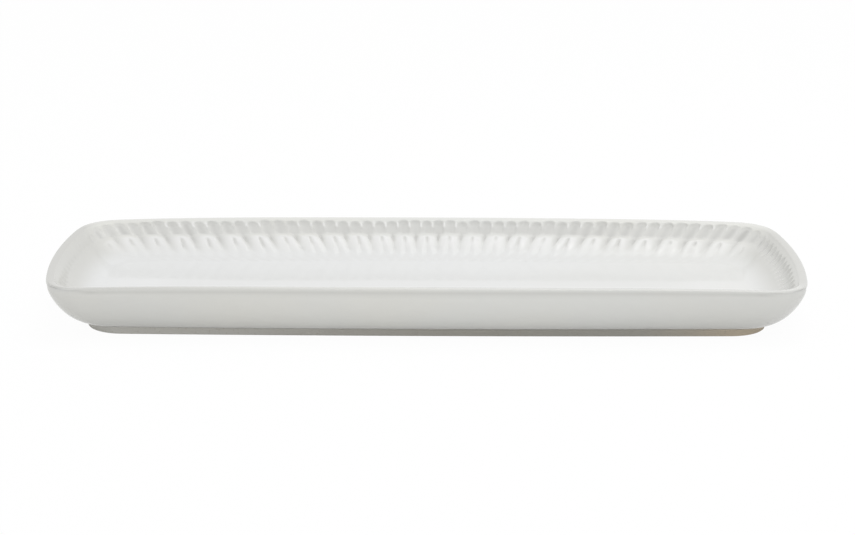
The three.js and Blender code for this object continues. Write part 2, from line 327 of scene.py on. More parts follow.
@dataclass(frozen=True)
class Section:
    """Section of the platter through the well's wall, the lip, the outer wall and the foot."""

    height: float
    lip_width: float = 4.2 * MM
    crown_inset: float = 0.85 * MM
    outer_drop: float = 0.65 * MM
    inner_drop: float = 0.9 * MM
    well_depth: float = 16.6 * MM
    wall_run: float = 19.8 * MM
    steep_lean: float = 3.8 * MM
    steep_drop: float = 5.8 * MM
    knee_run: float = 2.2 * MM
    knee_drop: float = 2.4 * MM
    knee_share: float = 0.5
    fullness: float = 1.61
    lip_groove: float = 0.4 * MM
    groove_below: float = 2.6 * MM
    groove_reach: float = 0.9 * MM
    corner_drop: float = -2.2 * MM
    corner_spread: float = 0.5
    lip_fade: Span = (0.3, 1.2)
    well_fade: Span = (0.02, 0.5)
    foot_inset: float = 17.2 * MM
    foot_height: float = 4.0 * MM
    foot_taper: float = 1.2 * MM
    foot_width: float = 7.0 * MM
    foot_edge: float = 0.8 * MM
    foot_lap: float = 1.0 * MM
    foot_blend: float = 2.5 * MM
    recess_depth: float = 3.0 * MM
    recess_run: float = 3.0 * MM
    floor_insets: tuple[float, ...] = (48.0 * MM, 41.0 * MM, 34.0 * MM, 29.5 * MM, 26.5 * MM)
    row_crowding: float = 1.25
    fine: int = 600

    @property
    def floor_inset(self) -> float:
        """Inset of the floor's edge."""
        return self.lip_width + self.wall_run

    @property
    def wall_top(self) -> float:
        """Height where the well's wall meets the lip."""
        return self.height - self.inner_drop

    @property
    def floor_height(self) -> float:
        """Height of the finished floor."""
        return self.height - self.well_depth

    def turn(self, start: float, end: float) -> np.ndarray:
        """Finely spaced angles from one number of quarter turns to another."""
        return np.linspace(start, end, self.fine) * math.pi / 2

    def floor_rows(self) -> Rows:
        """Level rows of the floor, from the middle outwards."""
        return level_rows(self.floor_insets, self.floor_height, 1.0)

    def wall_curve(self) -> tuple[np.ndarray, np.ndarray]:
        """Curve of the well's wall, from the floor's edge up to the lip.

        The wall leaves the floor in a long curve, climbs a slope, turns steep at a knee and meets the lip.

        Returns:
            Finely spaced insets and heights.
        """
        top = np.array([self.lip_width, self.wall_top])
        steep = top + np.array([self.steep_lean, -self.steep_drop])
        fall = np.array([self.steep_lean, -self.steep_drop]) / self.steep_drop
        knee = steep + np.array([self.knee_run, -self.knee_drop])
        turn = steep + fall * self.knee_drop * self.knee_share
        edge = np.array([self.floor_inset, self.floor_height])
        slope = (knee - turn) / (turn[1] - knee[1])
        bend = knee + slope * (knee[1] - edge[1])
        way = np.linspace(0.0, 1.0, self.fine)[:, None]
        rise = (1 - way) ** 2 * edge + 2 * way * (1 - way) * bend + way**2 * knee
        corner = (1 - way) ** 2 * knee + 2 * way * (1 - way) * turn + way**2 * steep
        lean = steep + way * (top - steep)
        curve = np.concatenate([rise, corner[1:], lean[1:]])
        return curve[:, 0], curve[:, 1]

    def wall_rows(self, count: int) -> Rows:
        """Rows from the floor's edge up to the lip, with their way down the wall from the lip.

        Args:
            count: Number of steps to make.

        Returns:
            The rows, crowded towards the lip.
        """
        rows = profile_rows(*self.wall_curve(), count, skip_first=False, crowding=self.row_crowding)
        rows.down = self.wall_length * np.linspace(1.0, 0.0, count + 1) ** self.row_crowding
        return rows

    def on_lip(self, rows: Rows) -> np.ndarray:
        """How far each row belongs to the lip: 1 on its crown, fading out down both sides."""
        fall = (self.height - rows.height) / self.outer_drop
        return 1 - smooth_step(*self.lip_fade, fall)

    def under_lip(self, rows: Rows, corner: np.ndarray) -> np.ndarray:
        """How deep each point lies in the line under the lip, which is higher and broader round the corners.

        Args:
            rows: Rows of the skin.
            corner: How deep in a corner each column lies, a row of values.

        Returns:
            From 0 to 1 in the middle of the line, on the outside only, rows by columns.
        """
        middle = self.groove_below + self.corner_drop * corner
        reach = self.groove_reach * (1 + self.corner_spread * corner)
        below = (self.height - rows.height[:, None] - middle) / reach
        return (rows.out_inset < 0)[:, None] * np.exp(-(below**2))

    def above_foot(self, rows: Rows) -> np.ndarray:
        """How near each row of the outer wall lies to the foot: 1 at the foot, fading out above it."""
        outside = (rows.out_inset < 0) & (rows.height > self.foot_height - self.foot_lap)
        return outside * (1 - smooth_step(0.0, self.foot_blend, rows.height - self.foot_height))

    def in_well(self, rows: Rows) -> np.ndarray:
        """How far each row belongs to the well.

        Args:
            rows: Rows of the skin.

        Returns:
            1 on the floor, fading out up its wall.
        """
        inside = (rows.out_height > 0) & (rows.inset > self.lip_width)
        rise = (rows.height - self.floor_height) / self.well_depth
        return inside * (1 - smooth_step(*self.well_fade, rise))

    @property
    def wall_length(self) -> float:
        """Length of the well's wall along the section."""
        inset, height = self.wall_curve()
        return float(np.hypot(np.diff(inset), np.diff(height)).sum())

    def lip_rows(self, inner: int, outer: int) -> Rows:
        """Rows over the lip, from the well's wall to the outer wall.

        Args:
            inner: Number of steps up to the crown.
            outer: Number of steps from there.

        Returns:
            The rows, with a negative way down on the inner side.
        """
        angle = self.turn(0.0, 1.0)
        inside = profile_rows(
            self.crown_inset + (self.lip_width - self.crown_inset) * np.cos(angle),
            self.wall_top + self.inner_drop * np.sin(angle),
            inner,
        )
        outside = profile_rows(
            self.crown_inset * (1 - np.sin(angle)),
            self.height - self.outer_drop * (1 - np.cos(angle)),
            outer,
        )
        inward = np.diff(inside.inset, prepend=self.lip_width)
        upward = np.diff(inside.height, prepend=self.wall_top)
        inside.down = -np.cumsum(np.hypot(inward, upward))
        return inside + outside

    def outer_rows(self, count: int) -> Rows:
        """Rows of the outer wall, from under the lip down to the foot.

        Args:
            count: Number of steps to make.

        Returns:
            The rows, with the line under the lip drawn in.
        """
        angle = self.turn(1.0, 0.0)
        power = 2 / self.fullness
        rise = self.height - self.outer_drop - self.foot_height
        inset = self.foot_inset * (1 - np.sin(angle) ** power)
        height = self.foot_height + rise * (1 - np.abs(np.cos(angle)) ** power)
        under_lip = (height - self.height + self.groove_below) / self.groove_reach
        return profile_rows(inset + self.lip_groove * np.exp(-(under_lip**2)), height, count)


@dataclass(frozen=True)
class Columns:
    """Columns of a skin, with each value as one row over the columns.

    Attributes:
        place: Place round the platter, counted in flutes from the middle of the +X end.
        share: Share of the way round.
        end: From 0 on the long sides to 1 on the ends.
        corner: From 0 outside the corners to 1 in the middle of one.
        past_corner: Way past the middle of the nearest corner, counted in lengths of the corner.
        lean: Place along the platter, from -1 to 1.
        flooded: How far the glaze has filled the relief.
    """

    place: np.ndarray
    share: np.ndarray
    end: np.ndarray
    corner: np.ndarray
    past_corner: np.ndarray
    lean: np.ndarray
    flooded: np.ndarray

    @property
    def far(self) -> np.ndarray:
        """From 0 in the middle of the platter to 1 towards both ends."""
        return smooth_step(*FAR_SPAN, np.abs(self.lean))

    @property
    def at_back(self) -> np.ndarray:
        """Whether each column lies in the back half of the platter."""
        return self.share < 0.5


@dataclass(frozen=True)
class Hand:
    """What the maker's hand gave each flute and each petal.

    Attributes:
        flute_swing: Depth of each flute as a share of the usual one.
        flute_shift: How far down each flute is set.
        flute_tone: How dark the glaze pool and the painted shade are in each flute.
        rib_glint: How bright the painted glint on the ribs beside each flute is.
        petal_swing: Height of each petal as a share of the usual one.
        petal_shift: How far further down each petal's tip reaches.
        vein_reach: Share of each petal where its vein ends.
        dot_share: Strength of the dot at each border between petals.
        petal_glint: Strength of each petal's glint.
        glint_place: Share of each petal where its glint lies.
    """

    flute_swing: np.ndarray
    flute_shift: np.ndarray
    flute_tone: np.ndarray
    rib_glint: np.ndarray
    petal_swing: np.ndarray
    petal_shift: np.ndarray
    vein_reach: np.ndarray
    dot_share: np.ndarray
    petal_glint: np.ndarray
    glint_place: np.ndarray


@dataclass(frozen=True)
class HandWork:
    """How uneven the maker's hand is."""

    flute_swing: float = 0.14
    flute_wander: float = 0.56 * MM
    flute_tone: Span = (0.82, 1.05)
    rib_glint: Span = (-0.2, 1.3)
    petal_swing: float = 0.28
    petal_wander: float = 0.84 * MM
    vein_reach: Span = (0.4, 0.75)
    dot_share: Span = (-0.4, 1.0)
    petal_glint: Span = (-0.3, 1.0)
    glint_place: Span = (0.4, 0.65)
    seed: int = 11

    def draw(self, flutes: int, petals: int) -> Hand:
        """Draws what each flute and each petal gets.

        Args:
            flutes: Number of flutes.
            petals: Number of petals.

        Returns:
            The values drawn.
        """
        draw = np.random.default_rng(self.seed)
        return Hand(
            flute_swing=1 + self.flute_swing * draw.uniform(-1, 1, flutes),
            flute_shift=self.flute_wander * draw.uniform(-1, 1, flutes),
            flute_tone=draw.uniform(*self.flute_tone, flutes),
            rib_glint=draw.uniform(*self.rib_glint, flutes).clip(0),
            petal_swing=1 + self.petal_swing * draw.uniform(-1, 1, petals),
            petal_shift=self.petal_wander * draw.uniform(-1, 1, petals),
            vein_reach=draw.uniform(*self.vein_reach, petals),
            dot_share=draw.uniform(*self.dot_share, petals).clip(0),
            petal_glint=draw.uniform(*self.petal_glint, petals).clip(0),
            glint_place=draw.uniform(*self.glint_place, petals),
        )


@dataclass(frozen=True)
class Petals:
    """Where each point of a grid lies on its petal.

    Attributes:
        number: The petal's number.
        border: Number of the nearest border between petals.
        side: From 0 on the vein to 1 on the border.
        head: Way down the wall where the petal begins.
        tip: Way down the wall where it ends.
        along: From 0 at its head to 1 at its tip.
    """

    number: np.ndarray
    border: np.ndarray
    side: np.ndarray
    head: np.ndarray
    tip: np.ndarray
    along: np.ndarray


@dataclass(frozen=True)
class Carving:
    """Parts of the relief over a grid, each from 0 to 1.

    Attributes:
        hand: What the maker's hand gave each flute and petal.
        flute: Number of each column's flute.
        petals: Where each point lies on its petal.
        hollow: Hollows of the flutes.
        fade: What is left of the flutes above the petals.
        swell: Swells of the petals.
        vein: Veins of the petals.
        tail: Tails between the petals.
        dot: Dots between the petals' feet.
        calm: What the filling glaze leaves of the relief.
        calm_petal: The same for the petals, which are calmer in the corners.
    """

    hand: Hand
    flute: np.ndarray
    petals: Petals
    hollow: np.ndarray
    fade: np.ndarray
    swell: np.ndarray
    vein: np.ndarray
    tail: np.ndarray
    dot: np.ndarray
    calm: np.ndarray
    calm_petal: np.ndarray


@dataclass(frozen=True)
class Flutes:
    """Band of flutes that hang from the lip, longer and narrower on the ends.

    Sizes with end in their name hold on the platter's ends.
    """

    start: float = -0.1 * MM
    length: float = 7.05 * MM
    length_gain: float = 1.6 * MM
    right_gain: float = 0.5
    depth: float = 1.25 * MM
    arch: float = 2.5 * MM
    roundness: float = 2.2
    fullness: float = 0.7
    rib_sink: Span = (2.2 * MM, 5.2 * MM)
    rib_sinking: float = 0.5
    foot_fade: float = 1.0 * MM
    end_start: float = 2.6 * MM
    end_length: float = 4.2 * MM
    end_arching: float = 0.8
    end_roundness: float = 0.9
    end_fullness: float = 1.0
    end_fading: float = 3.0
    end_softening: float = 0.35 * MM

    def foot_line(self, columns: Columns) -> np.ndarray:
        """Way down the wall where the flutes end, which grows towards the ends and most on the right.

        Args:
            columns: Columns of the grid.

        Returns:
            The line, a row of values.
        """
        gain = columns.lean**2 + self.right_gain * columns.lean * np.abs(columns.lean)
        line = self.start + self.length + self.end_length * columns.end
        return line + self.length_gain * gain * (1 - columns.end)

    def hollows(self, down: np.ndarray, columns: Columns, shift: np.ndarray) -> np.ndarray:
        """Hollows of the flutes, each under an arched head, between ribs that sink lower down.

        Args:
            down: Way down the wall from the lip, a column of values.
            columns: Columns of the grid.
            shift: How far down each column's flute is set.

        Returns:
            From 0 on the ribs to 1 in the middle of a flute, rows by columns.
        """
        end = columns.end
        across = 2 * np.abs(columns.place - np.round(columns.place))
        arch = self.arch * (1 + self.end_arching * end)
        top = self.start + self.end_start * end + shift
        head = np.maximum(0.0, (top + arch - down) / arch)
        sunk_rib = self.rib_sinking * smooth_step(*self.rib_sink, down) * (1 - end)
        roundness = self.roundness + (self.end_roundness - self.roundness) * end
        fullness = self.fullness + (self.end_fullness - self.fullness) * end
        return np.clip(1 - across**roundness * (1 - sunk_rib) - head**2, 0, 1) ** fullness

    def fade(self, down: np.ndarray, head: np.ndarray, end: np.ndarray) -> np.ndarray:
        """What is left of the flutes above the petals' heads."""
        reach = self.foot_fade * (1 + self.end_fading * end)
        return 1 - smooth_step(-reach, reach / 2, down - head)

    def soft_edge(self, down: np.ndarray, end: np.ndarray) -> np.ndarray:
        """How far the edge under the lip is rounded away on the ends."""
        return self.end_softening * end * np.exp(-((down / self.end_start) ** 2))


@dataclass(frozen=True)
class PetalRow:
    """Row of petals below the flutes, each with a vein between two ridges, and dots between their feet.

    Sizes with far in their name act towards the ends of the long sides.
    """

    count: int
    pitch: float
    wall_length: float
    height: float = 0.95 * MM
    arch: float = 1.5 * MM
    arch_share: float = 0.98
    straightening: float = 0.08 / MM
    straight_span: Span = (0.35, 0.85)
    tip_point: float = 3.6 * MM
    tip_sharpness: float = 1.4
    tip_margin: float = 3.6 * MM
    swell_roundness: float = 2.5
    swell_fullness: float = 0.8
    swell_rise: float = 0.16
    swell_fall: float = 0.3
    vein_depth: float = 0.5
    vein_width: float = 0.11
    vein_start: Span = (0.08, 0.2)
    vein_fade: float = 0.25
    far_vein_depth: float = 0.5
    far_vein_start: float = 0.1
    far_vein_reach: float = 0.12
    dot_down: float = 16.0 * MM
    dot_radius: float = 0.9 * MM
    dot_depth: float = 0.3 * MM

    def lay_out(self, down: np.ndarray, head_line: np.ndarray, columns: Columns, hand: Hand) -> Petals:
        """Lays the petals out, turned more upright towards the ends.

        Args:
            down: Way down the wall from the lip, a column of values.
            head_line: Way down the wall where the flutes end, a row of values.
            columns: Columns of the grid.
            hand: What the maker's hand gave each petal.

        Returns:
            Where each point lies on its petal.
        """
        upright = smooth_step(*self.straight_span, np.abs(columns.lean)) * np.sign(columns.lean)
        swing = self.straightening * upright * np.maximum(0.0, down - head_line)
        place = (columns.place + np.where(columns.place < self.count, swing, -swing) + 1) / 2
        number = np.floor(place).astype(int) % self.count
        border = np.round(place).astype(int) % self.count
        side = np.abs(2 * (place - np.floor(place)) - 1)
        head = head_line + self.arch * (1 - columns.end) * (1 - np.sqrt(1 - self.arch_share * side**2))
        point = self.tip_point * np.abs(2 * side - 1) ** self.tip_sharpness
        tip = self.wall_length - self.tip_margin + hand.petal_shift[number] - point
        along = np.clip((down - head) / (tip - head), 0, 1)
        return Petals(number, border, side, head, tip, along)

    def swells(self, petals: Petals, end: np.ndarray) -> np.ndarray:
        """Swells of the petals, highest near their heads.

        Args:
            petals: Where each point lies on its petal.
            end: How far each column belongs to an end, where there are no petals.

        Returns:
            From 0 to 1, rows by columns.
        """
        across = (1 - petals.side**self.swell_roundness) ** self.swell_fullness
        rise = smooth_step(0.0, self.swell_rise, petals.along)
        fall = 1 - smooth_step(self.swell_fall, 1.0, petals.along)
        return across * rise * fall * (1 - end)

    def veins(self, petals: Petals, columns: Columns, hand: Hand) -> np.ndarray:
        """Veins down the middle of the petals, which reach further down towards the ends.

        Args:
            petals: Where each point lies on its petal.
            columns: Columns of the grid.
            hand: What the maker's hand gave each petal.

        Returns:
            From 0 to 1 in the middle of a vein, rows by columns.
        """
        stop = hand.vein_reach[petals.number] + self.far_vein_reach * columns.far
        begun = smooth_step(*self.vein_start, petals.along - self.far_vein_start * columns.far)
        left = 1 - smooth_step(stop - self.vein_fade, stop, petals.along)
        return np.exp(-((petals.side / self.vein_width) ** 2)) * begun * left * (1 - columns.end)

    def dots(self, down: np.ndarray, petals: Petals, hand: Hand) -> np.ndarray:
        """Dots of different strength between the petals' feet."""
        away = np.hypot((1 - petals.side) * self.pitch, down - self.dot_down) / self.dot_radius
        return hand.dot_share[petals.border] * np.exp(-(away**2))

    def rise(self, columns: Columns, carving: Carving) -> np.ndarray:
        """How far the petals stand out of the wall, less their veins and dots.

        Args:
            columns: Columns of the grid.
            carving: Parts of the relief.

        Returns:
            The rise, rows by columns.
        """
        vein = self.vein_depth * (1 + self.far_vein_depth * columns.far) * carving.vein
        swing = carving.hand.petal_swing[carving.petals.number]
        return self.height * swing * (carving.swell - vein) - self.dot_depth * carving.dot


@dataclass(frozen=True)
class Tails:
    """Tails that run from the flutes down between the petals, longer and shallower towards the ends.

    Sizes with far in their name act towards the ends of the long sides.
    """

    width: float = 0.19
    reach: float = 0.42
    taper: float = 0.7
    least: float = 0.2
    lead: float = 2.2 * MM
    lap: float = 0.5 * MM
    far_width: float = 0.6
    far_reach: float = 1.3
    far_hold: float = 0.15
    far_rise: float = 0.35
    far_run_out: float = 0.5
    run_out_end: float = 0.6

    def strokes(self, down: np.ndarray, petals: Petals, columns: Columns) -> np.ndarray:
        """Strokes along the borders between petals.

        Args:
            down: Way down the wall from the lip, a column of values.
            petals: Where each point lies on its petal.
            columns: Columns of the grid.

        Returns:
            From 0 to 1 in the middle of a stroke, rows by columns.
        """
        far = columns.far
        reach = self.reach * (1 + self.far_reach * far)
        taper = (1 - self.taper * petals.along / reach).clip(self.least)
        width = self.width * (1 + self.far_width * far) * taper
        begun = smooth_step(-self.lead, self.lap, down - petals.head)
        left = 1 - smooth_step(self.far_hold * far, reach, petals.along)
        return np.exp(-(((1 - petals.side) / width) ** 2)) * left * begun * (1 - columns.end)

    def depth_share(self, petals: Petals, columns: Columns) -> np.ndarray:
        """Depth of the tails as a share of a flute's depth."""
        run_out = self.far_run_out * smooth_step(0.0, self.run_out_end, petals.along)
        return 1 - columns.far * (self.far_rise + run_out)


@dataclass(frozen=True)
class Relief:
    """Relief of the well's wall: flutes under the lip and petals below them, one petal to two flutes."""

    petal_row: PetalRow
    flutes: Flutes = Flutes()
    tails: Tails = Tails()
    hand_work: HandWork = HandWork()
    flood: float = 0.93
    flute_calm: float = 0.45
    petal_calm: float = 0.1
    cover: float = 1.3 * MM
    cover_start: float = 3.0 * MM
    cover_end: float = 15.0 * MM
    cover_fade: float = 4.5 * MM
    middle_crowding: float = 0.112

    @property
    def count(self) -> int:
        """Number of flutes."""
        return 2 * self.petal_row.count

    def share(self, place: np.ndarray) -> np.ndarray:
        """Share of the way round for each place, with flutes set closer in the middle of the long sides.

        Args:
            place: Places counted in flutes from the middle of the +X end.

        Returns:
            Shares from 0 to 1.
        """
        quarter = np.floor(place * 4 / self.count)
        local = place * 4 / self.count - quarter
        odd = quarter % 2 == 1
        local = np.where(odd, 1 - local, local)
        local = local + self.middle_crowding * local**2 * (1 - local)
        return (quarter + np.where(odd, 1 - local, local)) / 4

    def below_cuts(self, down: np.ndarray) -> np.ndarray:
        """How much deeper a hidden skin lies so that no narrow cut of the relief reaches through it.

        Args:
            down: Way down the wall from the lip, negative on the lip.

        Returns:
            Extra depth for each way down.
        """
        under = smooth_step(0.0, self.cover_start, down)
        return self.cover * under * (1 - smooth_step(self.cover_end, self.cover_end + self.cover_fade, down))

    def carve(self, down: np.ndarray, columns: Columns) -> Carving:
        """Works out every part of the relief.

        Args:
            down: Way down the wall from the lip, a column of values, negative on the lip.
            columns: Columns of the grid.

        Returns:
            The parts of the relief.
        """
        hand = self.hand_work.draw(self.count, self.petal_row.count)
        flute = np.round(columns.place).astype(int) % self.count
        petals = self.petal_row.lay_out(down, self.flutes.foot_line(columns), columns, hand)
        calm = 1 - self.flood * columns.flooded
        return Carving(
            hand=hand,
            flute=flute,
            petals=petals,
            hollow=self.flutes.hollows(down, columns, hand.flute_shift[flute]),
            fade=self.flutes.fade(down, petals.head, columns.end),
            swell=self.petal_row.swells(petals, columns.end),
            vein=self.petal_row.veins(petals, columns, hand),
            tail=self.tails.strokes(down, petals, columns),
            dot=self.petal_row.dots(down, petals, hand),
            calm=calm,
            calm_petal=calm * (1 - self.petal_calm * columns.corner),
        )

    def depth(self, down: np.ndarray, columns: Columns) -> np.ndarray:
        """Depth of the relief into the wall.

        Args:
            down: Way down the wall from the lip, a column of values, negative on the lip.
            columns: Columns of the grid.

        Returns:
            The depth, rows by columns, negative where a petal stands out.
        """
        carving = self.carve(down, columns)
        tail = carving.tail * self.tails.depth_share(carving.petals, columns)
        swing = carving.hand.flute_swing[carving.flute]
        cut = self.flutes.depth * swing * np.maximum(carving.hollow * carving.fade, tail)
        calm_flute = carving.calm * (1 - self.flute_calm * columns.corner)
        rise = self.petal_row.rise(columns, carving)
        return cut * calm_flute - rise * carving.calm_petal + self.flutes.soft_edge(down, columns.end)


@dataclass(frozen=True)
class GlazeFlow:
    """How the glaze has flowed: pools in hollows, thin on edges, with painted shade in hollows and on edges,
    painted highlights on swells and painted glints on ribs.

    Values with far in their name act towards the ends of the long sides, and values with end in their name
    on the platter's ends.
    """

    # Glaze pools and painted shade in the flutes, tails, veins and dots, and at the petals' feet.
    zone_tone: float = 0.68
    side_tone: float = 0.72
    corner_tone: float = 0.2
    far_tone: float = 0.1
    far_clearing: float = 0.3
    rib_merge: float = 2.6 * MM
    rib_blend: float = 1.0 * MM
    far_merge: float = 1.8
    rib_clearing: float = 0.8
    vein_tone: float = 0.45
    far_vein_tone: float = 0.25
    dot_tone: float = 0.35
    far_tail_tone: float = 0.08
    tail_softness: float = 0.7
    zone_softness: float = 0.5
    petal_foot_tone: float = 0.1
    petal_foot_rise: float = 1.0 * MM
    petal_foot_fade: Span = (2.0 * MM, 6.0 * MM)
    # Painted glints: white highlights painted on the ribs and on the petals' ridges.
    glint_down: float = 2.4 * MM
    glint_reach: float = 1.3 * MM
    rib_sharpness: float = 3.0
    glint_sharpness: float = 2.0
    rib_glint_strength: float = 2.0
    petal_glint_strength: float = 0.7
    petal_glint_length: float = 0.14
    petal_glint_width: float = 0.17
    ridge_side: float = 0.5
    full_glint: float = 0.4
    # Thin glaze and painted shade on the lip, and painted shade in a line under it, on the walls and above
    # the foot.
    line_share: float = 0.85
    lip_thinning: float = 0.3
    back_lip: float = 0.1
    right_lip: float = 0.2
    left_lip_shade: float = 0.5
    left_lip_shade_gain: float = 3.0
    end_lip: float = 1.4
    end_wall_shade: float = 0.74
    end_shade_span: Span = (0.35, 0.95)
    outer_wall_shade: float = 0.36
    foot_shade_reach: float = 2.2
    # Painted shade in the corner tucks and above the foot, the drained middle of the floor, and the right
    # side, which gets less of the lighter tones.
    tuck_shade: float = 1.0
    foot_shade: float = 0.75
    drained: float = 0.12
    right_dimming: float = 0.35
    right_dim_span: Span = (0.2, 0.9)

    def over_relief(self, down: np.ndarray, columns: Columns, carving: Carving) -> dict[Mask, np.ndarray]:
        """Masks of the glaze over the relief.

        Args:
            down: Way down the wall from the lip, a column of values.
            columns: Columns of the grid.
            carving: Parts of the relief.

        Returns:
            The masks that the relief alone makes, rows by columns.
        """
        glint = np.exp(-(((down - self.glint_down) / self.glint_reach) ** 2))
        on_side = 1 - np.maximum(columns.end, columns.corner)
        rib = (1 - carving.hollow) ** self.rib_sharpness * carving.fade * glint
        rib = rib * carving.hand.rib_glint[carving.flute] * on_side
        return {
            Mask.POOL: self.pooled_and_shaded(down, columns, carving, rib),
            # Painted highlight on the ribs and swells, less on the veins.
            Mask.CREST: np.clip(rib + carving.swell - carving.vein, 0, 1) * carving.calm,
            Mask.BREAK: self.painted_glint(columns, carving, rib),
        }

    def pooled_and_shaded(self, down: np.ndarray, columns: Columns, carving: Carving, rib: np.ndarray) -> np.ndarray:
        """Where the glaze pools and where shade is painted: in flutes, tails, veins and dots, and a little
        at the petals' feet.

        Args:
            down: Way down the wall from the lip, a column of values.
            columns: Columns of the grid.
            carving: Parts of the relief.
            rib: Where ribs break through.

        Returns:
            How deep the glaze and the painted shade are, rows by columns.
        """
        far, end = columns.far, columns.end
        # The whole flute band below the arches is darkened as well, a painted shade of the steep wall.
        past_merge = down - self.rib_merge * (1 + self.far_merge * far)
        merged = smooth_step(-self.rib_blend, self.rib_blend, past_merge)
        zone = np.maximum(carving.hollow**self.zone_softness, merged)
        zone = zone * carving.fade * (1 - self.rib_clearing * np.clip(rib, 0, 1))
        cut_tone = self.side_tone + (1 - self.side_tone) * np.maximum(end, self.corner_tone * columns.corner)
        dark = (cut_tone + self.far_tone * far * (1 - end)) * carving.hollow ** (1 + far) * carving.fade
        flutes = np.maximum(zone * self.zone_tone * (1 - self.far_clearing * far), dark)
        flutes = carving.hand.flute_tone[carving.flute] * flutes * carving.calm
        veins = (self.vein_tone + self.far_vein_tone * far) * carving.vein + self.dot_tone * carving.dot
        tails = (self.side_tone + self.far_tail_tone * far) * carving.tail**self.tail_softness
        marks = np.maximum(veins, tails) * carving.calm_petal
        below_tip = down - carving.petals.tip
        foot = smooth_step(-self.petal_foot_rise, self.petal_foot_rise, below_tip)
        foot = foot * (1 - smooth_step(*self.petal_foot_fade, below_tip)) * (1 - end)
        return np.clip(np.maximum(np.maximum(flutes, marks), self.petal_foot_tone * foot), 0, 1)

    def painted_glint(self, columns: Columns, carving: Carving, rib: np.ndarray) -> np.ndarray:
        """Where white glints are painted as highlights: on the ribs and on the ridges of petals on the
        right.

        Args:
            columns: Columns of the grid.
            carving: Parts of the relief.
            rib: Where ribs break through.

        Returns:
            How strong the painted glint is, rows by columns.
        """
        petals = carving.petals
        along = (petals.along - carving.hand.glint_place[petals.number]) / self.petal_glint_length
        across = (petals.side - self.ridge_side) / self.petal_glint_width
        spot = np.exp(-(along**2) - across**2) * carving.hand.petal_glint[petals.number]
        spot = spot * smooth_step(0.0, self.full_glint, columns.lean) * (1 - columns.end)
        # Painted glints on the ribs and on the petals' ridges.
        crown = self.rib_glint_strength * rib * (1 - carving.hollow) ** self.glint_sharpness
        return np.clip(crown + self.petal_glint_strength * spot, 0, 1)

    def thinned_and_shaded(self, rows: Rows, columns: Columns, section: Section) -> np.ndarray:
        """Where the glaze has run thin and where shade is painted: thin glaze and painted shade on the lip,
        painted shade in a line under it, above the foot and towards the ends.

        Args:
            rows: Rows of the skin.
            columns: Columns of the skin.
            section: Section of the platter.

        Returns:
            How thin the glaze is and how deep the painted shade, rows by columns.
        """
        end, lean = columns.end, columns.lean
        outside = (rows.out_inset < 0)[:, None]
        # Painted shade in the line under the lip, stronger round the corners.
        line = self.line_share + (1 - self.line_share) * columns.corner
        line = section.under_lip(rows, columns.corner) * line
        foot_top = self.foot_shade_reach * section.foot_height
        foot = outside * (1 - smooth_step(section.foot_height, foot_top, rows.height))[:, None]
        in_relief = (rows.down > -section.lip_width)[:, None]
        upper = 1 - smooth_step(*self.end_shade_span, rows.down / section.wall_length)
        # Painted shade on the upper end walls and on the outer wall towards the ends.
        wall = in_relief * self.end_wall_shade * end * upper[:, None]
        wall = wall + outside * self.outer_wall_shade * lean**2
        # Painted shade on the left lip, where less light falls.
        left = np.maximum(0.0, -lean)
        right = np.maximum(0.0, lean)
        spread = 1 + self.right_lip * right + left * (self.left_lip_shade + self.left_lip_shade_gain * left)
        spread = spread + self.end_lip * end
        lip_share = np.where(columns.at_back, self.back_lip + (1 - self.back_lip) * end, 1.0)
        lip = self.lip_thinning * spread * lip_share * section.on_lip(rows)[:, None]
        return np.clip(np.maximum(np.maximum(lip, line), np.maximum(foot, wall)), 0, 1)


class SkinMesh:
    """A mesh built from grids of points that run round the platter."""

    def __init__(self) -> None:
        """Starts an empty mesh."""
        self.points: list[np.ndarray] = []
        self.faces: list[list[int]] = []
        self.masks: dict[Mask, list[np.ndarray]] = {mask: [] for mask in Mask}
        self.total = 0

    def grid(self, points: np.ndarray, masks: dict[Mask, np.ndarray] | None = None) -> np.ndarray:
        """Adds rows of points, each closed round the platter, with quads between them.

        Args:
            points: Array of rows by columns by 3.
            masks: Mask values for the points, zero where left out.

        Returns:
            The points' numbers, rows by columns.
        """
        rows, columns = points.shape[:2]
        number = self.total + np.arange(rows * columns).reshape(rows, columns)
        self.points.append(points.reshape(-1, 3))
        for mask in Mask:
            values = (masks or {}).get(mask, np.zeros((rows, columns)))
            self.masks[mask].append(values.reshape(-1))
        self.total += rows * columns
        after = np.roll(number, -1, axis=1)
        quads = np.stack([number[:-1], after[:-1], after[1:], number[1:]], axis=-1)
        self.faces += quads.reshape(-1, 4).tolist()
        return number

    def seam(self, fine: np.ndarray, coarse: np.ndarray) -> None:
        """Joins a ring of points to a coarser one whose count divides it.

        Args:
            fine: Numbers of the finer ring.
            coarse: Numbers of the coarser ring.
        """
        step = len(fine) // len(coarse)
        for index, number in enumerate(coarse):
            after = coarse[(index + 1) % len(coarse)]
            ring = [int(fine[(index * step + offset) % len(fine)]) for offset in range(step + 1)]
            middle = step // 2
            for offset in range(step):
                corner = number if offset < middle else after
                self.faces.append([ring[offset], ring[offset + 1], int(corner)])
            self.faces.append([ring[middle], int(after), int(number)])

    def build(self, name: str) -> bpy.types.Object:
        """Makes the object, with near points welded and faces turned outwards.

        Args:
            name: Name of the piece.

        Returns:
            The new object, linked to the scene.
        """
        mesh = bpy.data.meshes.new(name)
        mesh.from_pydata(np.concatenate(self.points).tolist(), [], self.faces)
        for mask, values in self.masks.items():
            attribute = mesh.attributes.new(mask.value, "FLOAT", "POINT")
            attribute.data.foreach_set("value", np.concatenate(values))
        work = bmesh.new()
        work.from_mesh(mesh)
        bmesh.ops.remove_doubles(work, verts=work.verts, dist=WELD)
        bmesh.ops.dissolve_degenerate(work, edges=work.edges, dist=SLIVER)
        bmesh.ops.recalc_face_normals(work, faces=work.faces)
        work.to_mesh(mesh)
        work.free()
        mesh.shade_smooth()
        piece = bpy.data.objects.new(name, mesh)
        bpy.context.scene.collection.objects.link(piece)
        return piece


